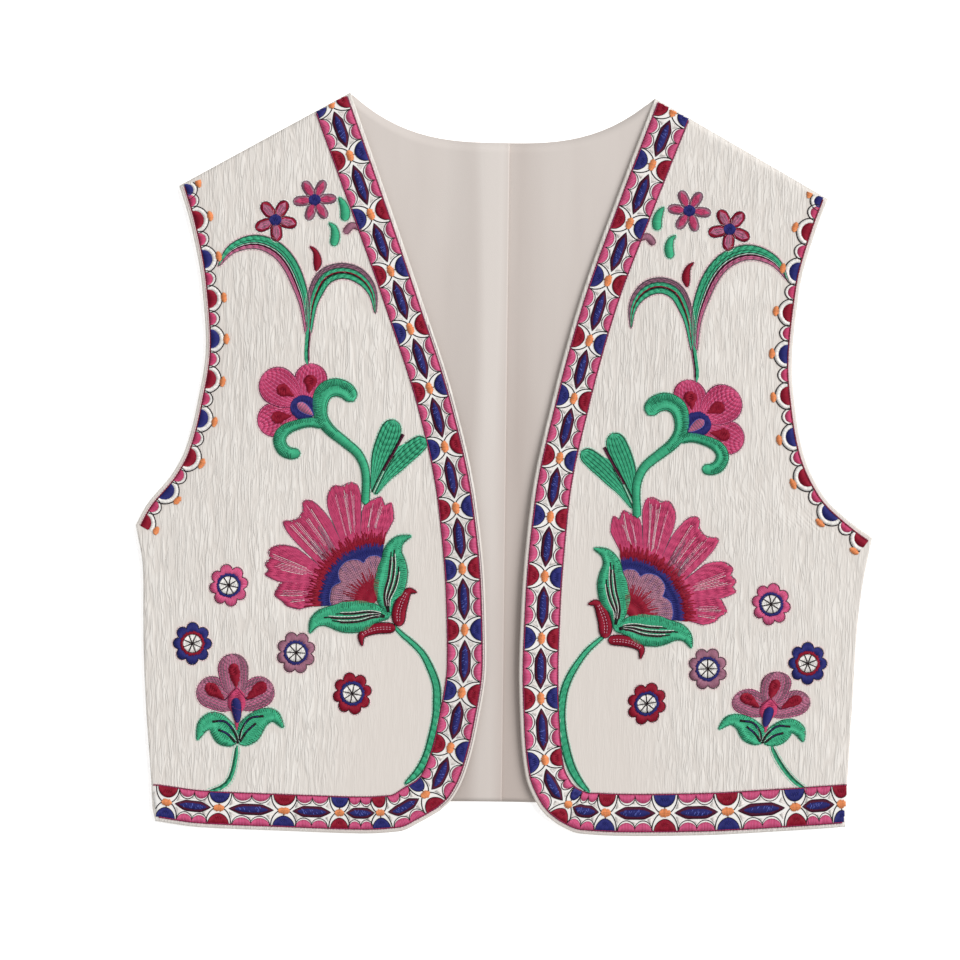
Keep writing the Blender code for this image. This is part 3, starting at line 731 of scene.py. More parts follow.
# The small three-lobed flower near the hem.
lily = {
    "petals": [
        ([(-178.4, -163), (-192, -156.5), (-205.2, -151)], [10, 19, 21, 21.5]),
        ([(-179.4, -163), (-166.4, -155.4), (-154.8, -150)], [10, 19, 20.5, 21]),
        ([(-179.4, -158), (-181.4, -142), (-182.6, -128.9)], [8, 17, 19.6, 19.6]),
    ],
    "drops": [
        ([(-187.6, -159.2), (-199.4, -149.6)], [1.4, 5.4, 8.6, 8]),
        ([(-171.9, -158.6), (-159.6, -148.2)], [1.4, 5.4, 8.4, 7.8]),
        ([(-179.2, -151.2), (-181.6, -135.2)], [0.8, 5.6, 7.4, 6.4]),
    ],
    "heart": ([(-179, -150.8), (-178.5, -180)], [1, 11, 12, 6.5, 3, 0.8]),
    "zigzag": [(-191.2, -158.7), (-186.7, -160), (-179, -151), (-172.1, -159.3), (-167.6, -158.3)],
    "seed": ([(-179.6, -158.4), (-177.9, -175)], [5.6, 6.6, 5.6, 2.4]),
    # spine, widths, and the points of its veins
    "leaves": [
        ([(-179.6, -189.4), (-186.3, -182.3), (-193.2, -174.5), (-200.5, -176.9), (-205.1, -187.1)],
            [9, 16, 12.6, 7.6, 0.8], [[(-177.4, -188.9), (-179.6, -182.2), (-186.4, -174.4),
            (-194.9, -174.6)], [(-179.4, -188.3), (-185.2, -182.3), (-190.8, -180.1)]]),
        ([(-176, -189.4), (-170, -180.3), (-162.3, -171.7), (-153.9, -169.9), (-147, -177.7)],
            [9, 16, 12.6, 7.6, 0.8], [[(-176.7, -186.6), (-175.1, -179.8), (-169.6, -171.9),
            (-160.6, -170.2)], [(-176.1, -187.7), (-171.7, -180.9), (-165.6, -175.2)]]),
    ],
    "stem": {
        "left": [(-178, -190.7), (-179.2, -200.2), (-180.8, -208.1), (-183.3, -214.3), (-187.4, -218.5),
            (-192.4, -220.6), (-198, -222.1)],
        "right": [(182.8, -184), (185.3, -190), (189.6, -197.2), (194.6, -203.8), (200.7, -209.7),
            (207.5, -213.6)],
    },
    "stemWidths": [2.2, 2.8, 2.9, 2.8, 1.4],
    "stitches": {
        "rim": 0.45,
        "rows": {"thread": "mauve", "spacing": 0.5, "advance": 2.6},
        "shadeLift": 0.46,
        "shade": {"thread": "smoke", "depth": 0.2, "pitch": 1.1, "ragged": 0.9, "width": 0.4},
    },
}


def shaded(work, near, far, thread, depth, **given):
    # short stitches inwards from both sides of a shape
    for shares in ((0.02, depth), (0.98, 1 - depth)):
        satin(work, near, far, thread, shares, **given)


def ring(work, centre, low, high, angles, thread, **given):
    satin(work, polar(centre, low, angles), polar(centre, high, angles), thread, **given)


def spoke(centre, low, high, angle, lean=0.0):
    # two points outwards from a centre, the farther one turned a little
    return polar(centre, np.array([low, high]), np.array([angle, angle + lean]))


def starWork(work, flower):
    at, width, reach = flower["at"], flower["width"], flower["reach"]
    for angle in flower["angles"]:
        petal = leafSides(spoke(at, 2.2, reach, angle), [3.0, width, width, 0.8 * width])
        satin(work, *petal, flower["rim"], lift=0.14, pitch=0.5)
        core = leafSides(spoke(at, 3.0, reach - 1.2, angle), [2.2, 0.66 * width, 0.70 * width, 0.62 * width])
        rows(work, *core, flower["fill"], spacing=0.5, lift=0.36, second=(flower["light"], 4))
        edged(work, *petal, "plum" if flower["rim"] == "crimson" else "smoke", "white", 0.5)
    satin(work, *disc(at, 3.9), "navy", lift=0.56)


def rosetteWork(work, flower):
    sizes, at = flowers["rosetteSizes"], flower["at"]
    angles = np.linspace(0, 360, 240)
    around = np.radians(angles)
    lobes = abs(np.cos(4 * (around - np.radians(flower["turn"])))) ** 0.55
    reach = blend(*sizes["reach"], np.sin(around) ** 2) - sizes["lobe"] * (1 - lobes)
    light = ("rose", 2) if flower["fill"] == "pink" else None
    ring(work, at, sizes["fillFrom"], reach, angles, flower["fill"], ragged=0.4, second=light)
    seam(work, polar(at, reach + 0.1, angles), "black", 0.42, 1.5, 0.34)
    seam(work, polar(at, reach + 0.9, angles), "blush", 0.7, 1.8, 0.06)
    ring(work, at, *sizes["ring"], angles, flower["ring"], ragged=0.5, lift=0.4)
    satin(work, *disc(at, sizes["eye"]), "white", lift=0.46)
    for angle in flower["turn"] + np.arange(22.5, 360, 45):
        seam(work, spoke(at, 0.2, sizes["wheel"], angle), "black", 1.0, 3.0, 0.66)
    seam(work, polar(at, sizes["wheel"], angles), "black", 0.5, 1.6, 0.6)


def commaWork(work, comma):
    spine, widths, thread = comma
    shape, green = leafSides(spine, widths), thread == "green"
    satin(work, *shape, thread, lift=0.2)
    edged(work, *shape, "leafShade" if green else "plum", "mint" if green else "blush", 0.4)


def bladeWork(work, blade):
    spine, widths, swapped, bands = blade
    near, far = leafSides(spine, widths)[::-1 if swapped else 1]
    for low, high, thread, other in bands:
        rows(work, near, far, thread, (low, high), second=(other or "leafShade", 2 if other else 5))
    edged(work, near, far, "smoke", "blush", 0.36)


def lobedFlower(work, flower):
    # overlapping petals, each a layer above the one before, with a drop on each
    stitches = flower["stitches"]
    for layer, petal in enumerate(flower["petals"]):
        shape, rise = leafSides(*petal), 0.12 * layer
        edged(work, *shape, "plum", "blush", stitches["rim"], 0.16 + rise)
        rows(work, *shape, lift=0.22 + rise, second=("rose", 4), **stitches["rows"])
        shaded(work, *shape, lift=stitches["shadeLift"] + rise, **stitches["shade"])
    for drop in flower["drops"]:
        satin(work, *leafSides(*drop), "crimson", lift=0.86, ragged=0.4)


def trefoilWork(work):
    flower = flowers["trefoil"]
    lobedFlower(work, flower)
    satin(work, *disc(flower["heart"], *flower["heartSize"]), "navy", lift=0.9, ragged=0.4)
    seed = leafSides(*flower["seed"])
    satin(work, *seed, "mauve", lift=1.1, second=("rose", 3))
    seam(work, closedLine(*seed), "blue", 0.45, 1.6, 1.16)


def scrollWork(work, scroll):
    spine, widths, hatched = scroll
    near, far = leafSides(spine, widths)
    satin(work, near, far, "green", lift=1.0)
    edged(work, near, far, "leafShade", "mint", 0.6, 0.94)
    first, last = (int(share * (len(near) - 1)) for share in hatched)
    outer, inner = (near, far) if spine[0][1] < 0 else (far, near)
    outer, inner = outer[first:last], inner[first:last]
    satin(work, outer, inner, "leafShade", (0.06, 0.46), lift=1.26, pitch=1.2, ragged=0.6, width=0.55)
    seam(work, blend(inner, outer, 0.1), "leafShade", 0.5, 2.0, 1.24)


def leafPairWork(work):
    rib = curveThrough(flowers["leafRib"])
    for leaf, towardsRib in zip(flowers["leafPair"], (1, 0)):
        shape = leafSides(*leaf)
        edged(work, *shape, "leafShade", "mint", 0.45, 0.2)
        rows(work, *shape, "green", lift=0.26, second=("leafShade", 4))
        satin(work, shape[towardsRib][:46], rib[:46], "green", lift=0.2)
    for line, aside, thread, width, advance, lift in (
            (rib, (-0.3, 0.2), "black", 1.1, 2.2, 0.56), (rib[22:], (0.6, -0.3), "plum", 1.5, 2.6, 0.62),
            (rib[:40], (1.8, -1.1), "black", 0.6, 1.6, 0.56),
            (rib[:30], (0.9, -0.5), "white", 0.45, 1.6, 0.56)):
        seam(work, line + np.array(aside), thread, width, advance, lift)


def blossomPetal(work, foot, profile):
    at = blossom["at"]
    angles, reach = np.array(profile, float).T
    sampled = np.linspace(angles[0], angles[-1], 80)
    inner = polar(at, blossom["ringFoot"], np.linspace(*foot, 80))
    outer = polar(at, smoothLine(angles, reach, sampled), sampled)
    edged(work, inner, outer, "smoke", "blush", 0.5, 0.28)
    satin(work, inner, outer, "pink", ragged=0.9, lift=0.26, second=("deepPink", 6))

    def lines(bundles, step):
        # the angles of a bundle's lines, with their distance from its middle
        for angle, width in bundles:
            if angles[0] < angle < angles[-1]:
                for offset in np.arange(-width, width + 0.1, step):
                    yield angle + offset, offset

    def lineAt(angle, low, short, bow=0.0):
        # a bowed line along the petal, from near the ring to short of its tip
        start = blend(*foot, (angle - angles[0]) / (angles[-1] - angles[0]))
        ends = spoke(at, low, smoothLine(angles, reach, angle) - short, start, angle - start)
        return curveThrough([ends[0], ends.mean(0) + bow * np.array((0.5, -0.5)), ends[1]], 30)

    apart, low, short = blossom["streakLines"]
    for angle, offset in lines(blossom["streaks"], apart):
        line = lineAt(angle, low, short, offset)
        line = line[dice.integers(0, 7):30 - dice.integers(0, 9)]
        seam(work, line, "palePink" if dice.random() < 0.7 else "white", 0.36, 2.2, 0.5)
        seam(work, line + 0.5, "deepPink", 0.4, 3.0, 0.46)
    apart, low, short = blossom["shadeLines"]
    for angle, offset in lines(blossom["shade"], apart):
        line = lineAt(angle, low, short + 4 * abs(offset) + dice.uniform(0, 6))
        seam(work, line, "mauve" if dice.random() < 0.7 else "smoke", 0.5, 3.6, 0.5)


def spikes(work, angles, wave, foot, reach, teeth, shares, lean, lift):
    # pointed stitches round a ring, longer and shorter in turn
    for angle in angles:
        tip = reach + abs(np.sin(wave * angle)) * teeth * dice.uniform(*shares)
        spike = spoke(blossom["at"], foot, tip, angle, dice.uniform(-lean, lean))
        seam(work, spike, "crimson", 0.85, 9, lift)


def blossomHeart(work):
    # the rings of the blossom, each above the one before
    at, (start, stop) = blossom["at"], blossom["ringAngles"]
    angles = np.linspace(start, stop, 240)
    low, high, teeth = blossom["crimsonRing"]
    ring(work, at, low, high - 1, angles, "crimson", lift=0.5, ragged=0.8)
    spikes(work, np.arange(start, stop, 1.1), 0.42, high - 4, high, teeth, (0.5, 1), 1.5, 0.6)
    ring(work, at, *blossom["navyRing"], angles, "navy", lift=0.66, ragged=1.8)
    heartAngles, heartReach = np.array(blossom["heart"], float).T
    reach = smoothLine(heartAngles, heartReach, angles)
    slanted = polar(at, 6, np.linspace(start + 16, stop - 10, 240))
    satin(work, slanted, polar(at, reach, angles), "mauve", lift=0.78, second=("smoke", 7))
    core, teeth = blossom["core"]
    for step in np.arange(core + 1, 34, 1.3):
        for angle in np.arange(start + 2 + (step % 2.6) * 1.2, stop - 2, 75 / step):
            if step < smoothLine(heartAngles, heartReach, angle) - 1.2:
                seam(work, spoke(at, step, step + 0.9, angle, 1.4), "palePink", 0.3, 4.0, 0.98)
    seam(work, polar(at, reach, angles), "blue", 0.45, 1.3, 0.94)
    ring(work, at, 1.5, core - 2, angles, "crimson", lift=1.0, ragged=0.8)
    spikes(work, np.arange(90, 182, 3.2), 0.2, core - 6, core, teeth, (0.3, 1), 3, 1.0)


def blossomWork(work):
    for petal in blossom["petals"]:
        blossomPetal(work, *petal)
    blossomHeart(work)
    for spine, widths, veins in blossom["leaves"]:
        near, far = leafSides(spine, widths)
        satin(work, near, far, "green", lift=1.05)
        edged(work, near, far, "leafShade", "mint", 0.5, 1.0)
        shaded(work, near, far, "leafShade", 0.17, lift=1.28, pitch=1.3, ragged=0.9, width=0.5)
        across = (far - near) / np.maximum(np.linalg.norm(far - near, axis=1), 0.1)[:, None]
        for share, reach in veins:
            narrowed = 0.5 + (share - 0.5) * np.linspace(0.7, 1, len(near))[:, None]
            seen = slice(3, int(reach * len(near)))
            line, aside = blend(near, far, narrowed)[seen], across[seen]
            seam(work, line, "black", 0.95, 3.0, 1.34)
            seam(work, (line + 0.85 * aside)[3:-3], "white", 0.55, 2.4, 1.32)
            seam(work, (line - 0.7 * aside)[4:-5], "plum", 0.5, 2.4, 1.32)
    for sepal in blossom["sepals"]:
        near, far = leafSides(*sepal)
        edged(work, near, far, "black", "blush", 0.55, 1.0)
        satin(work, near, far, "crimson", lift=1.05)
        for share in (0.36, 0.58):
            line = blend(near, far, share)
            for k in range(6, 46, 4):
                seam(work, line[k:k + 3], "palePink", 0.42, 4.0, 1.34)


def lilyWork(work):
    lobedFlower(work, lily)
    satin(work, *leafSides(*lily["heart"]), "pink", lift=0.8)
    seam(work, np.array(lily["zigzag"]), "plum", 0.7, 2.0, 0.96)
    seed = leafSides(*lily["seed"])
    satin(work, *seed, "navy", lift=1.04)
    seam(work, closedLine(*seed), "plum", 0.5, 2.0, 1.1)
    for spine, widths, veins in lily["leaves"]:
        shape = leafSides(spine, widths)
        edged(work, *shape, "leafShade", "mint", 0.5, 0.6)
        satin(work, *shape, "green", lift=0.66, ragged=0.5)
        shaded(work, *shape, "leafShade", 0.2, lift=0.9, pitch=1.6, ragged=0.8, width=0.45)
        for vein in veins:
            line = curveThrough(vein)
            seam(work, line, "black", 1.7, 2.4, 0.96)
            seam(work, line[24:52], "navy", 0.8, 2.4, 1.06)
            seam(work, line[:30] + np.array((0.9, 0.9)), "mint", 0.45, 2.0, 0.94)


def stemWork(work, side):
    # the stems, drawn where they lie on their own side
    shape = leafSides(flowers["stem"][side], flowers["stemWidths"], 80)
    rows(work, *shape, "green", lift=0.2, second=("leafShade", 7))
    edged(work, *shape, "leafShade", "mint", 0.45)
    shape = leafSides(lily["stem"][side], lily["stemWidths"])
    rows(work, *shape, "leafShade", lift=0.18)
    rows(work, *shape, "green", (0, 0.55) if side == "left" else (0.45, 1), lift=0.26)
    edged(work, *shape, None, "mint")


def flowerGroups(side):
    # every group of flowers by name, each in its own work
    groups = {}

    def group(name, fill, *given):
        groups.setdefault(name, newWork())
        fill(groups[name], *given)

    kinds = {"stars": starWork, "rosettes": rosetteWork, "commas": commaWork, "blades": bladeWork}
    for kind, fill in kinds.items():
        for name, part in flowers[kind].items():
            group(name, fill, part)
    for shares, thread in (((0.45, 1), "green"), ((0.2, 0.45), "black"), ((0, 0.2), "mauve")):
        group("bladeStem", rows, *leafSides(*flowers["bladeStem"]), thread, shares, 0.62, 4.6, 0.44)
    group("trefoil", trefoilWork)
    for scroll in flowers["scrolls"]:
        group("scrolls", scrollWork, scroll)
    group("leafPair", leafPairWork)
    group("blossom", blossomWork)
    group("lily", lilyWork)
    group("stems", stemWork, side)
    return groups


def laidOut(work, chart):
    # the stitches' ends in x and y, without those that fall off the cloth
    starts, ends = chart(np.vstack(work["from"])), chart(np.vstack(work["to"]))
    keep = np.isfinite(starts).all(1) & np.isfinite(ends).all(1)
    keep &= np.linalg.norm(ends - starts, axis=1) > 0.25
    others = {key: np.concatenate(work[key])[keep] for key in ("width", "lift", "thread")}
    return {"from": starts[keep], "to": ends[keep], **others}


def flowersLaid(side):
    laid = []
    for name, work in flowerGroups(side).items():
        chart = flowerChart("left" if name == "stems" else side, *rightPlaces.get(name, ()))
        laid.append(laidOut(work, chart))
    return {key: np.concatenate([part[key] for part in laid]) for key in laid[0]}


# The crepe's crinkle: ridges that run down the cloth and waver.
crepe = {
    "ridgeAcross": 2.7, "ridgeAlong": 17.0, "height": 0.34,
    # how far the ridges sway, then across and along: the size of a bump and where its pattern starts
    "sways": [(1.1, 9, 31, 7, 5), (1.2, 26, 3, 34, 77)],
    "steepness": 2.4, "ridgeTop": 0.45, "troughDepth": 0.7, "longerShare": 0.35,
    "columns": 284, "rows": 138, "wall": 1.2, "rolledEdge": 1.6, "rollDrop": 0.9,
    "bandShare": 0.06, "bandEdge": (24, 30),
    # ridge and trough paint light on the crinkle's ridges and shade in its troughs; smooth, the colour where
    # the crinkle is pressed out, is greyer as painted soft shade
    "ridge": "#E6E1DB", "trough": "#D6CFC8", "smooth": "#D8D0C9",
    "smoothAcross": (62.0, 118.0), "smoothDown": (25.0, -95.0), "smoothShare": 0.85, "calmShare": 0.8,
    "creases": [(2.1, 22.0, 13.0), (4.2, 36.0, 12.0)],    # fine and broad: apart, long and how steep
    "weave": (2600, 2600, 2600),                          # cells to a metre, about 0.4 mm each
    "creaseShade": (0.55, -0.05), "ridgeShade": 0.6, "grainShare": 0.12, "relief": (0.75, 0.4),
}
lattice = dice.uniform(-1, 1, (256, 256))


def waver(x, y):
    # smooth random height between -1 and 1, one bump to a unit
    i, j = np.floor(x).astype(int), np.floor(y).astype(int)
    u, v = x - i, y - j
    u, v = u * u * (3 - 2 * u), v * v * (3 - 2 * v)
    corner = [[lattice[(i + a) % 256, (j + b) % 256] for b in (0, 1)] for a in (0, 1)]
    return blend(blend(corner[0][0], corner[1][0], u), blend(corner[0][1], corner[1][1], u), v)


def crinkle(x, y):
    # the ridges' height as a share, between about -1 and 1: narrow troughs between rounder ridges
    sway = sum(reach * waver(x / wide + shiftX, y / high + shiftY)
               for reach, wide, shiftX, high, shiftY in crepe["sways"])
    fine = waver((x + sway) / crepe["ridgeAcross"], y / crepe["ridgeAlong"])
    longer = waver((x + sway) / (2.2 * crepe["ridgeAcross"]) + 50, y / (2.4 * crepe["ridgeAlong"]) + 9)
    ridges = crepe["steepness"] * np.minimum(abs(fine), crepe["ridgeTop"]) - crepe["troughDepth"]
    return ridges + crepe["longerShare"] * longer


def smoothPatch(side, x, y):
    # how far the crinkle is pressed out towards the lower front corner
    across = 1 - softStep(abs(innerX(side, y) - x), *crepe["smoothAcross"])
    return crepe["smoothShare"] * across * softStep(-y, -crepe["smoothDown"][0], -crepe["smoothDown"][1])


calmGrid = {"cell": 1.5, "count": 380, "spread": 3, "fade": 0.999}


def calmCells(points):
    # the rows and columns of the grid's cells that the points are in
    cells = (points / calmGrid["cell"] + calmGrid["count"] / 2).astype(int)
    return tuple(cells.T.clip(0, calmGrid["count"] - 1))


def calmMap(laid):
    # where thread holds the cloth flat: 1 under the work, fading round it, on a grid of small cells
    grid = np.zeros((calmGrid["count"], calmGrid["count"]))
    for share in (0.1, 0.5, 0.9):
        grid[calmCells(blend(laid["from"], laid["to"], share))] = 1
    for _ in range(calmGrid["spread"]):
        around = [np.roll(grid, (a, b), (0, 1)) for a in (-1, 0, 1) for b in (-1, 0, 1)]
        grid = np.maximum(grid * calmGrid["fade"], sum(around) / 9)
    return grid


def clothTop(side, x, y, calm):
    # the top of a front at x and y, the crinkle's share there, and how crinkled the cloth is
    wild = (1 - crepe["calmShare"] * calm[calmCells(pairs(x, y))]) * (1 - smoothPatch(side, x, y))
    share = crinkle(x, y)
    fromEdge = np.minimum(abs(innerX(side, y) - x), abs(outerX(side, y) - x))
    fromEdge = np.minimum(fromEdge, np.minimum(y - hemY(side, x), shoulderY(side, x) - y))
    inBand = softStep(np.minimum(abs(innerX(side, y) - x), y - hemY(side, x)), *crepe["bandEdge"])
    height = crepe["height"] * wild * blend(crepe["bandShare"], 1, inBand) * share
    roll = crepe["rollDrop"] * (1 - np.sqrt(1 - (1 - np.clip(fromEdge / crepe["rolledEdge"], 0, 1)) ** 2))
    return frontUnder(side, x, y) + layers["frontWall"] + height - roll, 0.5 + 0.5 * share, wild


def srgb(code):
    # a hex colour as the renderer's linear colour
    parts = [int(code[i:i + 2], 16) / 255 for i in (1, 3, 5)]
    return (*[p / 12.92 if p <= 0.04045 else ((p + 0.055) / 1.055) ** 2.4 for p in parts], 1.0)


def newMaterial(name, code, roughness, specular):
    finish = bpy.data.materials.new(name)
    finish.use_nodes = True
    shader = finish.node_tree.nodes["Principled BSDF"]
    shader.inputs["Base Color"].default_value = srgb(code)
    shader.inputs["Roughness"].default_value = roughness
    shader.inputs["Specular IOR Level"].default_value = specular
    return finish


def addNode(finish, kind, settings=None, out=0, **links):
    # adds a node and gives one of its outputs; a link's value is another node's output, or a plain value
    tree = finish.node_tree
    node = tree.nodes.new("ShaderNode" + kind)
    for key, value in (settings or {}).items():
        setattr(node, key, value)
    for key, value in links.items():
        socket = node.inputs[int(key[1:])] if key[0] == "n" and key[1:].isdigit() else node.inputs[key]
        if isinstance(value, bpy.types.NodeSocket):
            tree.links.new(value, socket)
        else:
            socket.default_value = value
    return node.outputs[out]


def surfaced(finish, colour, relief, strength, depth):
    # gives a material its colour and its relief, whose depth is in millimetres
    shader = finish.node_tree.nodes["Principled BSDF"]
    bump = addNode(finish, "Bump", Strength=strength, Distance=depth * mm, Height=relief)
    finish.node_tree.links.new(colour, shader.inputs["Base Color"])
    finish.node_tree.links.new(bump, shader.inputs["Normal"])
    return finish


def crepeMaterial():
    # Crinkled cotton crepe, woven with overtwisted yarn: matt off-white, with thin creases that run down it
    # and waver;
    # painted shade darkens the creases and troughs, and painted light brightens the ridges between them.
    finish = newMaterial("crinkled cotton crepe", crepe["ridge"], 0.9, 0.2)
    place = addNode(finish, "TexCoord", out="Object")
    share = addNode(finish, "Attribute", {"attribute_name": "crinkle"}, "Fac")
    wild = addNode(finish, "Attribute", {"attribute_name": "wild"}, "Fac")

    def creases(across, along, depth):
        # 0 in a crease and 1 between them; the noise's middle level gives long wavering loops
        stretched = addNode(finish, "Mapping", n0=place, n3=(1 / across / mm, 1 / along / mm, 1))
        noise = addNode(finish, "TexNoise", Vector=stretched, Scale=1.0, Detail=1.2, Distortion=0.3)
        middle = addNode(finish, "Math", {"operation": "SUBTRACT"}, n0=noise, n1=0.5)
        off = addNode(finish, "Math", {"operation": "ABSOLUTE"}, n0=middle)
        return addNode(finish, "Math", {"operation": "MULTIPLY", "use_clamp": True}, n0=off, n1=depth)

    fine, broad = (creases(*sizes) for sizes in crepe["creases"])
    both = addNode(finish, "Math", {"operation": "MULTIPLY"}, n0=fine, n1=broad)
    gain, least = crepe["creaseShade"]
    shade = addNode(finish, "Math", {"operation": "MULTIPLY_ADD"}, n0=both, n1=gain, n2=least)
    # painted light and shade: lighter where the crinkle rises, darker in its troughs and creases
    total = addNode(finish, "Math", {"operation": "MULTIPLY_ADD", "use_clamp": True}, n0=share,
                    n1=crepe["ridgeShade"], n2=shade)
    lined = addNode(finish, "Mix", {"data_type": "RGBA"}, 2, n0=total, n6=srgb(crepe["trough"]),
                    n7=srgb(crepe["ridge"]))
    # where the crinkle is pressed out, the greyer smooth colour is painted soft shade
    colour = addNode(finish, "Mix", {"data_type": "RGBA"}, 2, n0=wild, n6=srgb(crepe["smooth"]), n7=lined)
    weave = addNode(finish, "Mapping", n0=place, n3=crepe["weave"])
    grain = addNode(finish, "TexNoise", Vector=weave, Scale=1.0, Detail=1.0)
    puckered = addNode(finish, "Math", {"operation": "MULTIPLY"}, n0=both, n1=wild)
    height = addNode(finish, "Math", {"operation": "MULTIPLY_ADD"}, n0=grain, n1=crepe["grainShare"],
                     n2=puckered)
    return surfaced(finish, colour, height, *crepe["relief"])


def liningMaterial():
    # Smooth cotton lining cloth: a pinkish beige with a low gloss. Its weave is too fine to show from a step
    # away, so its threads are drawn about 0.3 by 0.7 mm.
    finish = newMaterial("smooth cotton sateen lining", lining["colour"], 0.7, 0.2)
    place = addNode(finish, "TexCoord", out="Object")
    streaked = addNode(finish, "Mapping", n0=place, n3=lining["streaks"])
    streak = addNode(finish, "TexNoise", Vector=streaked, Scale=1.0, Detail=2.0)
    # painted shade: the lining darker towards the hem and lighter up the cloth
    high = addNode(finish, "SeparateXYZ", out="Y", Vector=place)
    # the painted highlight and shadow by the pleat, kept on the lining's points
    paintedPleatShading = addNode(finish, "Attribute", {"attribute_name": "paintedPleatShading"}, "Fac")
    share = addNode(finish, "Math", {"operation": "MULTIPLY_ADD"}, n0=high, n1=lining["upShare"], n2=0.0)
    share = addNode(finish, "Math", {"operation": "MULTIPLY_ADD"}, n0=streak, n1=lining["streakShare"],
                    n2=share)
    share = addNode(finish, "Math", {"operation": "ADD", "use_clamp": True}, n0=share, n1=paintedPleatShading)
    colour = addNode(finish, "Mix", {"data_type": "RGBA"}, 2, n0=share, n6=srgb(lining["dark"]),
                     n7=srgb(lining["light"]))
    threadsAcross = addNode(finish, "Mapping", n0=place, n3=lining["weave"])
    grain = addNode(finish, "TexNoise", Vector=threadsAcross, Scale=1.0, Detail=1.0)
    return surfaced(finish, colour, grain, *lining["relief"])


def threadMaterial(name, code):
    # Rayon embroidery thread: bright, with a silky look and the twist of its plies.
    finish = newMaterial("rayon embroidery thread, " + name, code, 0.55, 0.22)
    tone = addNode(finish, "Attribute", {"attribute_name": "tone"}, "Fac")
    colour = addNode(finish, "Mix", {"data_type": "RGBA", "blend_type": "MULTIPLY"}, 2, n0=1.0, n6=srgb(code),
                     n7=tone)
    ply = addNode(finish, "Attribute", {"attribute_name": "ply"}, "Fac")
    turns = addNode(finish, "Math", {"operation": "MULTIPLY"}, n0=ply, n1=stitching["plyTurns"])
    twist = addNode(finish, "Math", {"operation": "SINE"}, n0=turns)
    return surfaced(finish, colour, twist, 0.3, 0.06)


def groundMaterial():
    # White rayon thread laid close together under the border's stitches: silky, with a fine uneven grain.
    ground = border["ground"]
    finish = newMaterial("white rayon ground stitches", ground["colour"], 0.6, 0.25)
    place = addNode(finish, "TexCoord", out="Object")
    stretched = addNode(finish, "Mapping", n0=place, n3=ground["grain"])
    grain = addNode(finish, "TexNoise", Vector=stretched, Scale=1.0, Detail=2.0)
    low, high = srgb(ground["low"]), srgb(ground["high"])
    colour = addNode(finish, "Mix", {"data_type": "RGBA"}, 2, n0=grain, n6=low, n7=high)
    return surfaced(finish, colour, grain, *ground["relief"])


def placed(name, data):
    thing = bpy.data.objects.new(name, data)
    bpy.context.scene.collection.objects.link(thing)
    return thing


def keepNumbers(mesh, label, values):
    # one number for each of a mesh's points, for its material
    attribute = mesh.attributes.new(label, "FLOAT", "POINT")
    attribute.data.foreach_set("value", values.astype(np.float32).ravel())


def gridPiece(name, points, finish, wall, offset, kept=None):
    # cloth from a table of points, columns by rows; kept has numbers for each, for the material
    columns, rowCount = points.shape[0] - 1, points.shape[1] - 1
    mesh = bpy.data.meshes.new(name)
    grid = bmesh.new()
    bmesh.ops.create_grid(grid, x_segments=columns, y_segments=rowCount, size=0.5)
    grid.to_mesh(mesh)
    grid.free()
    flat = np.empty(len(mesh.vertices) * 3, np.float32)
    mesh.vertices.foreach_get("co", flat)
    i = np.rint((flat[0::3] + 0.5) * columns).astype(int)
    j = np.rint((flat[1::3] + 0.5) * rowCount).astype(int)
    mesh.vertices.foreach_set("co", (points[i, j] * mm).astype(np.float32).ravel())
    mesh.polygons.foreach_set("use_smooth", np.ones(len(mesh.polygons), bool))
    for label, values in (kept or {}).items():
        keepNumbers(mesh, label, values[i, j])
    mesh.update()
    mesh.materials.append(finish)
    piece = placed(name, mesh)
    solid = piece.modifiers.new("wall", "SOLIDIFY")
    solid.thickness, solid.offset = wall * mm, offset
    return piece


def stitchForm():
    # one stitch from end to end, -1 to 1, with a ridge along its top, cut into triangles
    form = bmesh.new()
    bmesh.ops.create_cone(form, cap_ends=True, segments=3, radius1=1, radius2=1, depth=2)
    bmesh.ops.triangulate(form, faces=form.faces)
    form.verts.ensure_lookup_table()
    places = np.array([v.co for v in form.verts])
    faces = np.array([[v.index for v in face.verts] for face in form.faces])
    form.free()
    around = np.arctan2(places[:, 1], places[:, 0])
    around -= around[0]
    shape = np.stack([np.sign(places[:, 2]) * 0.94, np.sin(around), np.cos(around)], axis=-1)
    outwards = np.linalg.det(shape[faces[0]]) > 0
    return shape, faces if outwards else faces[:, ::-1], around / (2 * np.pi) * 0.5


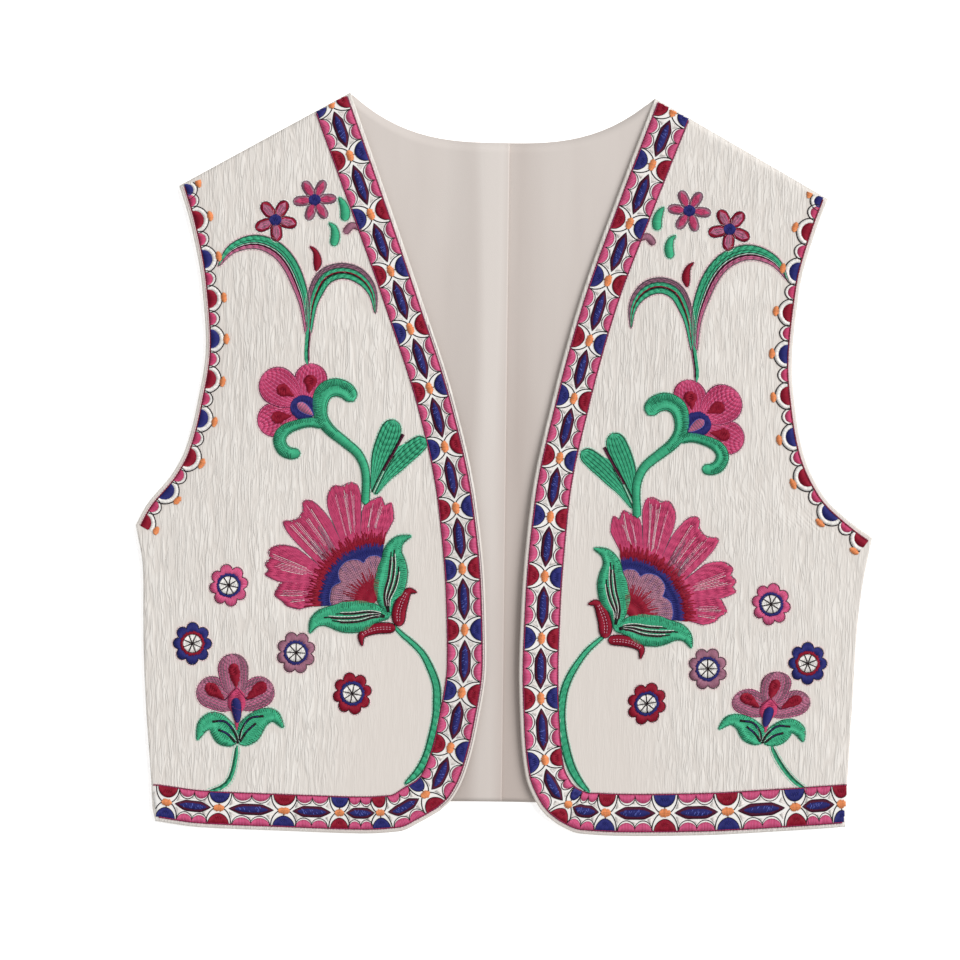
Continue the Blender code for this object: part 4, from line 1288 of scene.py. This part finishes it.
def threadPiece(name, laid, side, calm):
    # one piece from many stitches, each a small closed form that lies on the cloth
    shape, faces, phase = stitchForm()
    count, corners = len(laid["from"]), len(shape)
    places = (laid["from"], (laid["from"] + laid["to"]) / 2, laid["to"])
    start, between, stop = (clothTop(side, *points.T, calm)[0] for points in places)
    lift, sag = laid["lift"] + stitching["unevenness"] * dice.uniform(-1, 1, count), stitching["sag"]
    p = np.column_stack([laid["from"], np.maximum(start, 2 * between - stop - sag) + lift])
    q = np.column_stack([laid["to"], np.maximum(stop, 2 * between - start - sag) + lift])
    axis = (q - p) / 2 * stitching["overlong"]
    level = axis[:, :2] / np.linalg.norm(axis[:, :2], axis=1)[:, None]
    half = laid["width"] / 2 * stitching["overwide"]
    across = np.column_stack([-level[:, 1], level[:, 0], np.zeros(count)]) * half[:, None]
    up = np.column_stack([np.zeros((count, 2)), stitching["height"] * np.clip(laid["width"], 0.5, 0.9)])
    verts = ((p + q) / 2)[:, None] + sum(shape[None, :, k:k + 1] * way[:, None]
                                         for k, way in enumerate((axis, across, up)))
    tris = (faces[None] + (np.arange(count) * corners)[:, None, None]).reshape(-1, 3)
    mesh = bpy.data.meshes.new(name)
    mesh.vertices.add(count * corners)
    mesh.vertices.foreach_set("co", (verts * mm).astype(np.float32).ravel())
    mesh.loops.add(tris.size)
    mesh.loops.foreach_set("vertex_index", tris.astype(np.int32).ravel())
    mesh.polygons.add(len(tris))
    mesh.polygons.foreach_set("loop_start", np.arange(0, tris.size, 3, dtype=np.int32))
    mesh.polygons.foreach_set("loop_total", np.full(len(tris), 3, np.int32))
    used, slots = np.unique(laid["thread"], return_inverse=True)
    for number in used:
        mesh.materials.append(threadFinishes[number])
    mesh.polygons.foreach_set("material_index", np.repeat(slots.astype(np.int32), len(faces)))
    mesh.polygons.foreach_set("use_smooth", np.ones(len(tris), bool))
    tones = 1 + stitching["toneSpread"] * dice.uniform(-1, 1, count)
    keepNumbers(mesh, "tone", np.repeat(tones, corners))
    keepNumbers(mesh, "ply", shape[None, :, 0] * np.linalg.norm(axis, axis=1)[:, None] + phase[None])
    mesh.update(calc_edges=True)
    return placed(name, mesh)


def bandGround(name, side, chart, total, calm):
    # the thin white ground under the border's stitches
    sizes = border["ground"]
    s = np.linspace(0, 1, sizes["lengths"] + 1)
    d = np.linspace(border["near"], border["far"], sizes["across"] + 1)[::1 if side == "right" else -1]
    starts, stops = bandEnds(border["ends"][side], total, d)
    lengths = starts[None] + s[:, None] * (stops - starts)[None]
    flat = chart(np.column_stack([lengths.ravel(), np.tile(d, len(s))]))
    height = clothTop(side, *flat.T, calm)[0] + sizes["lift"]
    points = np.column_stack([flat, height]).reshape(len(s), len(d), 3)
    return gridPiece(name, points, groundFinish, sizes["wall"], -1)


def joined(pieces, name):
    # several pieces made one, each keeping its own materials
    for piece in pieces:
        for modifier in list(piece.modifiers):
            with bpy.context.temp_override(object=piece, active_object=piece, selected_objects=[piece]):
                bpy.ops.object.modifier_apply(modifier=modifier.name)
    with bpy.context.temp_override(active_object=pieces[0], object=pieces[0], selected_objects=pieces,
                                   selected_editable_objects=pieces):
        bpy.ops.object.join()
    pieces[0].name = pieces[0].data.name = name
    return pieces[0]


def handedIn(piece, node=None):
    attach(piece, "root")
    if node:
        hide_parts(node)


def evenly(columns, rowCount):
    # shares across and up a patch, from 0 to 1
    return np.meshgrid(np.linspace(0, 1, columns + 1), np.linspace(0, 1, rowCount + 1), indexing="ij")


# The back, and the lining with its columns: left of the pleat, round each of its two turns, and right of it.
back = {"cells": 60, "wall": 1.4, "crinkle": 0.6}
lining = {
    "colour": "#D9CEC7", "light": "#D8D0CA", "dark": "#B9ADA6", "relief": (0.35, 0.2),
    "weave": (3000, 1400, 3000), "streaks": (60, 9, 60),    # cells to a metre
    "upShare": 1.3, "streakShare": 0.3,                     # how much lighter up the cloth, painted shade darkening it towards the hem, and how much in streaks
    "wall": 1.0, "rows": 70, "hemInset": 0.004, "topInset": 0.9993, "sideInset": 1.0,
    "leftColumns": 70, "leftEnd": 0.965, "turnColumns": 9, "rightColumns": 66, "rightStart": 0.04,
    # painted light and shade by the pleat: lighter on the rise left of it, darker in its shadow right of the
    # fold, about the plain level
    "plain": 0.32, "lighter": 0.5, "lightAt": 9, "lightReach": (4, 16), "darker": 0.38, "darkReach": (2, 34),
}


def liningPoints():
    # the lining's columns from left to right, turning under and back at the pleat
    low, radius = layers["liningUnder"] + lining["wall"] / 2, layers["layerPitch"] / 2
    up = np.linspace(0, 1, lining["rows"] + 1)
    insetUp = blend(lining["hemInset"], lining["topInset"], up)
    leftY, rightY = alongSeam("left", up)[0], alongSeam("right", up)[0]
    leftX, rightX = outerX("left", leftY), outerX("right", rightY)
    foldX = pleatX((leftY + rightY) / 2)
    columns, paintedPleatShading = [], []

    def column(x, height, rises=False, shaded=False):
        # painted highlight, lighter on the side that rises to the pleat, and painted shadow, darker right of
        # its fold
        fromFold = foldX.mean() - x.mean()
        fromLight = abs(fromFold - lining["lightAt"])
        light = lining["lighter"] * rises * (1 - softStep(fromLight, *lining["lightReach"]))
        dark = lining["darker"] * shaded * (1 - softStep(-fromFold, *lining["darkReach"]))
        paintedPleatShading.append(np.full(len(up), lining["plain"] + light - dark))
        y = backPoint((x - leftX) / (rightX - leftX), insetUp)[1]
        columns.append(np.stack([x, y, np.broadcast_to(height, x.shape)], axis=-1))

    for number, share in enumerate(np.linspace(0, lining["leftEnd"], lining["leftColumns"])):
        x = blend(leftX + lining["sideInset"], foldX, share)
        column(x, low + liningRise(foldX - x), rises=number > 0)
    for centre, layer, bulge in ((radius, 1.5, radius), (layers["pleatDepth"] - radius, 0.5, -radius)):
        for angle in np.linspace(0, np.pi, lining["turnColumns"]):
            height = low + layer * layers["layerPitch"] + radius * np.cos(angle)
            column(foldX - centre + bulge * np.sin(angle), height)
    for share in np.linspace(lining["rightStart"], 1, lining["rightColumns"]):
        column(blend(foldX, rightX - lining["sideInset"], share), low, shaded=True)
    return np.stack(columns), {"paintedPleatShading": np.stack(paintedPleatShading)}


# The finishes, then the pieces, and what lies on each of them.
crepeFinish, liningFinish, groundFinish = crepeMaterial(), liningMaterial(), groundMaterial()
threadFinishes = [threadMaterial(name, code) for name, code in threads.items()]

print("back and lining")
backX, backY = backPoint(*evenly(back["cells"], back["cells"]))
plain = np.zeros_like(backX)
backPoints = np.stack([backX, backY, plain], axis=-1)
backKept = {"crinkle": plain + back["crinkle"], "wild": plain}
pieces = {"backPanel": gridPiece("backPanel", backPoints, crepeFinish, back["wall"], 1, backKept)}
liningAt, liningKept = liningPoints()
pieces["backLining"] = gridPiece("backLining", liningAt, liningFinish, lining["wall"], 0, liningKept)

goesWith = {"backPanel": [], "backLining": []}
for side in ("left", "right"):
    print("front and thread work,", side)
    title = side.capitalize()
    narrowing = border["narrowing"] + border["hemWidth"][side]
    bandPlace, bandTotal = bandChart(side, frontLine(side), 1, border["ends"][side], narrowing)
    holePlace, holeTotal = bandChart(side, armholeLine(side), -1, edging["ends"])
    flowerLaid = flowersLaid(side)
    bandLaid, holeLaid = laidOut(borderWork(side), bandPlace), laidOut(edgingWork(holeTotal), holePlace)
    calm = np.maximum(calmMap(flowerLaid), calmMap(holeLaid))
    shareAcross, shareUp = evenly(crepe["columns"], crepe["rows"])
    x, y = frontPoint(side, shareAcross if side == "left" else 1 - shareAcross, shareUp)
    height, shares, wild = (values.reshape(x.shape) for values in clothTop(side, x.ravel(), y.ravel(), calm))
    front = gridPiece("front" + title, np.stack([x, y, height], axis=-1), crepeFinish, crepe["wall"], -1,
                      {"crinkle": shares, "wild": wild})
    ground = bandGround("ground" + title, side, bandPlace, bandTotal, calm)
    band = joined([threadPiece("stitches" + title, bandLaid, side, calm), ground], "frontBorder" + title)
    hole = threadPiece("armholeEdging" + title, holeLaid, side, calm)
    blooms = threadPiece("flowerWork" + title, flowerLaid, side, calm)
    handedIn(front, "front_" + side)
    handedIn(band, "front_border_" + side)
    handedIn(hole, "armhole_edging_" + side)
    handedIn(blooms)
    pieces["front" + title], goesWith["front" + title] = front, [band, hole, blooms]
    print("stitches", side, len(bandLaid["from"]), len(holeLaid["from"]), len(flowerLaid["from"]))

handedIn(pieces["backPanel"], "back_panel")
handedIn(pieces["backLining"], "back_lining")

print("floor, light and camera")
# Lengths of the stage are in metres, its turn and spread in degrees.
stage = {
    "floor": "#FFFFFF", "floorGlow": 0.44, "floorHalf": 4, "floorDrop": 0.0002, "world": 0.56,
    "sun": {"towards": (0.66, 0.36, 0.66), "strength": 2.35, "spread": 38},
    "cameraAt": (-0.0172, -0.0083, 2.168), "turn": 1.0, "lens": 120,
}
floorMesh = bpy.data.meshes.new("floor")
grid = bmesh.new()
bmesh.ops.create_grid(grid, x_segments=4, y_segments=4, size=stage["floorHalf"])
bmesh.ops.translate(grid, verts=grid.verts, vec=(0, 0, -stage["floorDrop"]))
grid.to_mesh(floorMesh)
grid.free()
# Matt white paper, lit a little from below as on a light table, so that shadows on it stay faint.
floorFinish = newMaterial("matt white paper", stage["floor"], 0.95, 0.1)
floorShader = floorFinish.node_tree.nodes["Principled BSDF"]
floorShader.inputs["Emission Color"].default_value = srgb(stage["floor"])
floorShader.inputs["Emission Strength"].default_value = stage["floorGlow"]
floorMesh.materials.append(floorFinish)
placed("floor", floorMesh)

world = bpy.data.worlds.new("studio")
world.use_nodes = True
world.node_tree.nodes["Background"].inputs["Color"].default_value = srgb("#FFFFFF")
world.node_tree.nodes["Background"].inputs["Strength"].default_value = stage["world"]
bpy.context.scene.world = world
light = bpy.data.lights.new("key", "SUN")
light.energy, light.angle = stage["sun"]["strength"], np.radians(stage["sun"]["spread"])
lamp = placed("key", light)
lamp.location = stage["sun"]["towards"]
lamp.rotation_euler = (-lamp.location).to_track_quat("-Z", "Y").to_euler()

camera = placed("camera", bpy.data.cameras.new("camera"))
camera.data.lens, camera.data.sensor_width = stage["lens"], 36
camera.location = stage["cameraAt"]
camera.rotation_euler = (0, 0, np.radians(stage["turn"]))
bpy.context.scene.camera = camera
bpy.context.scene.view_settings.view_transform = "Standard"
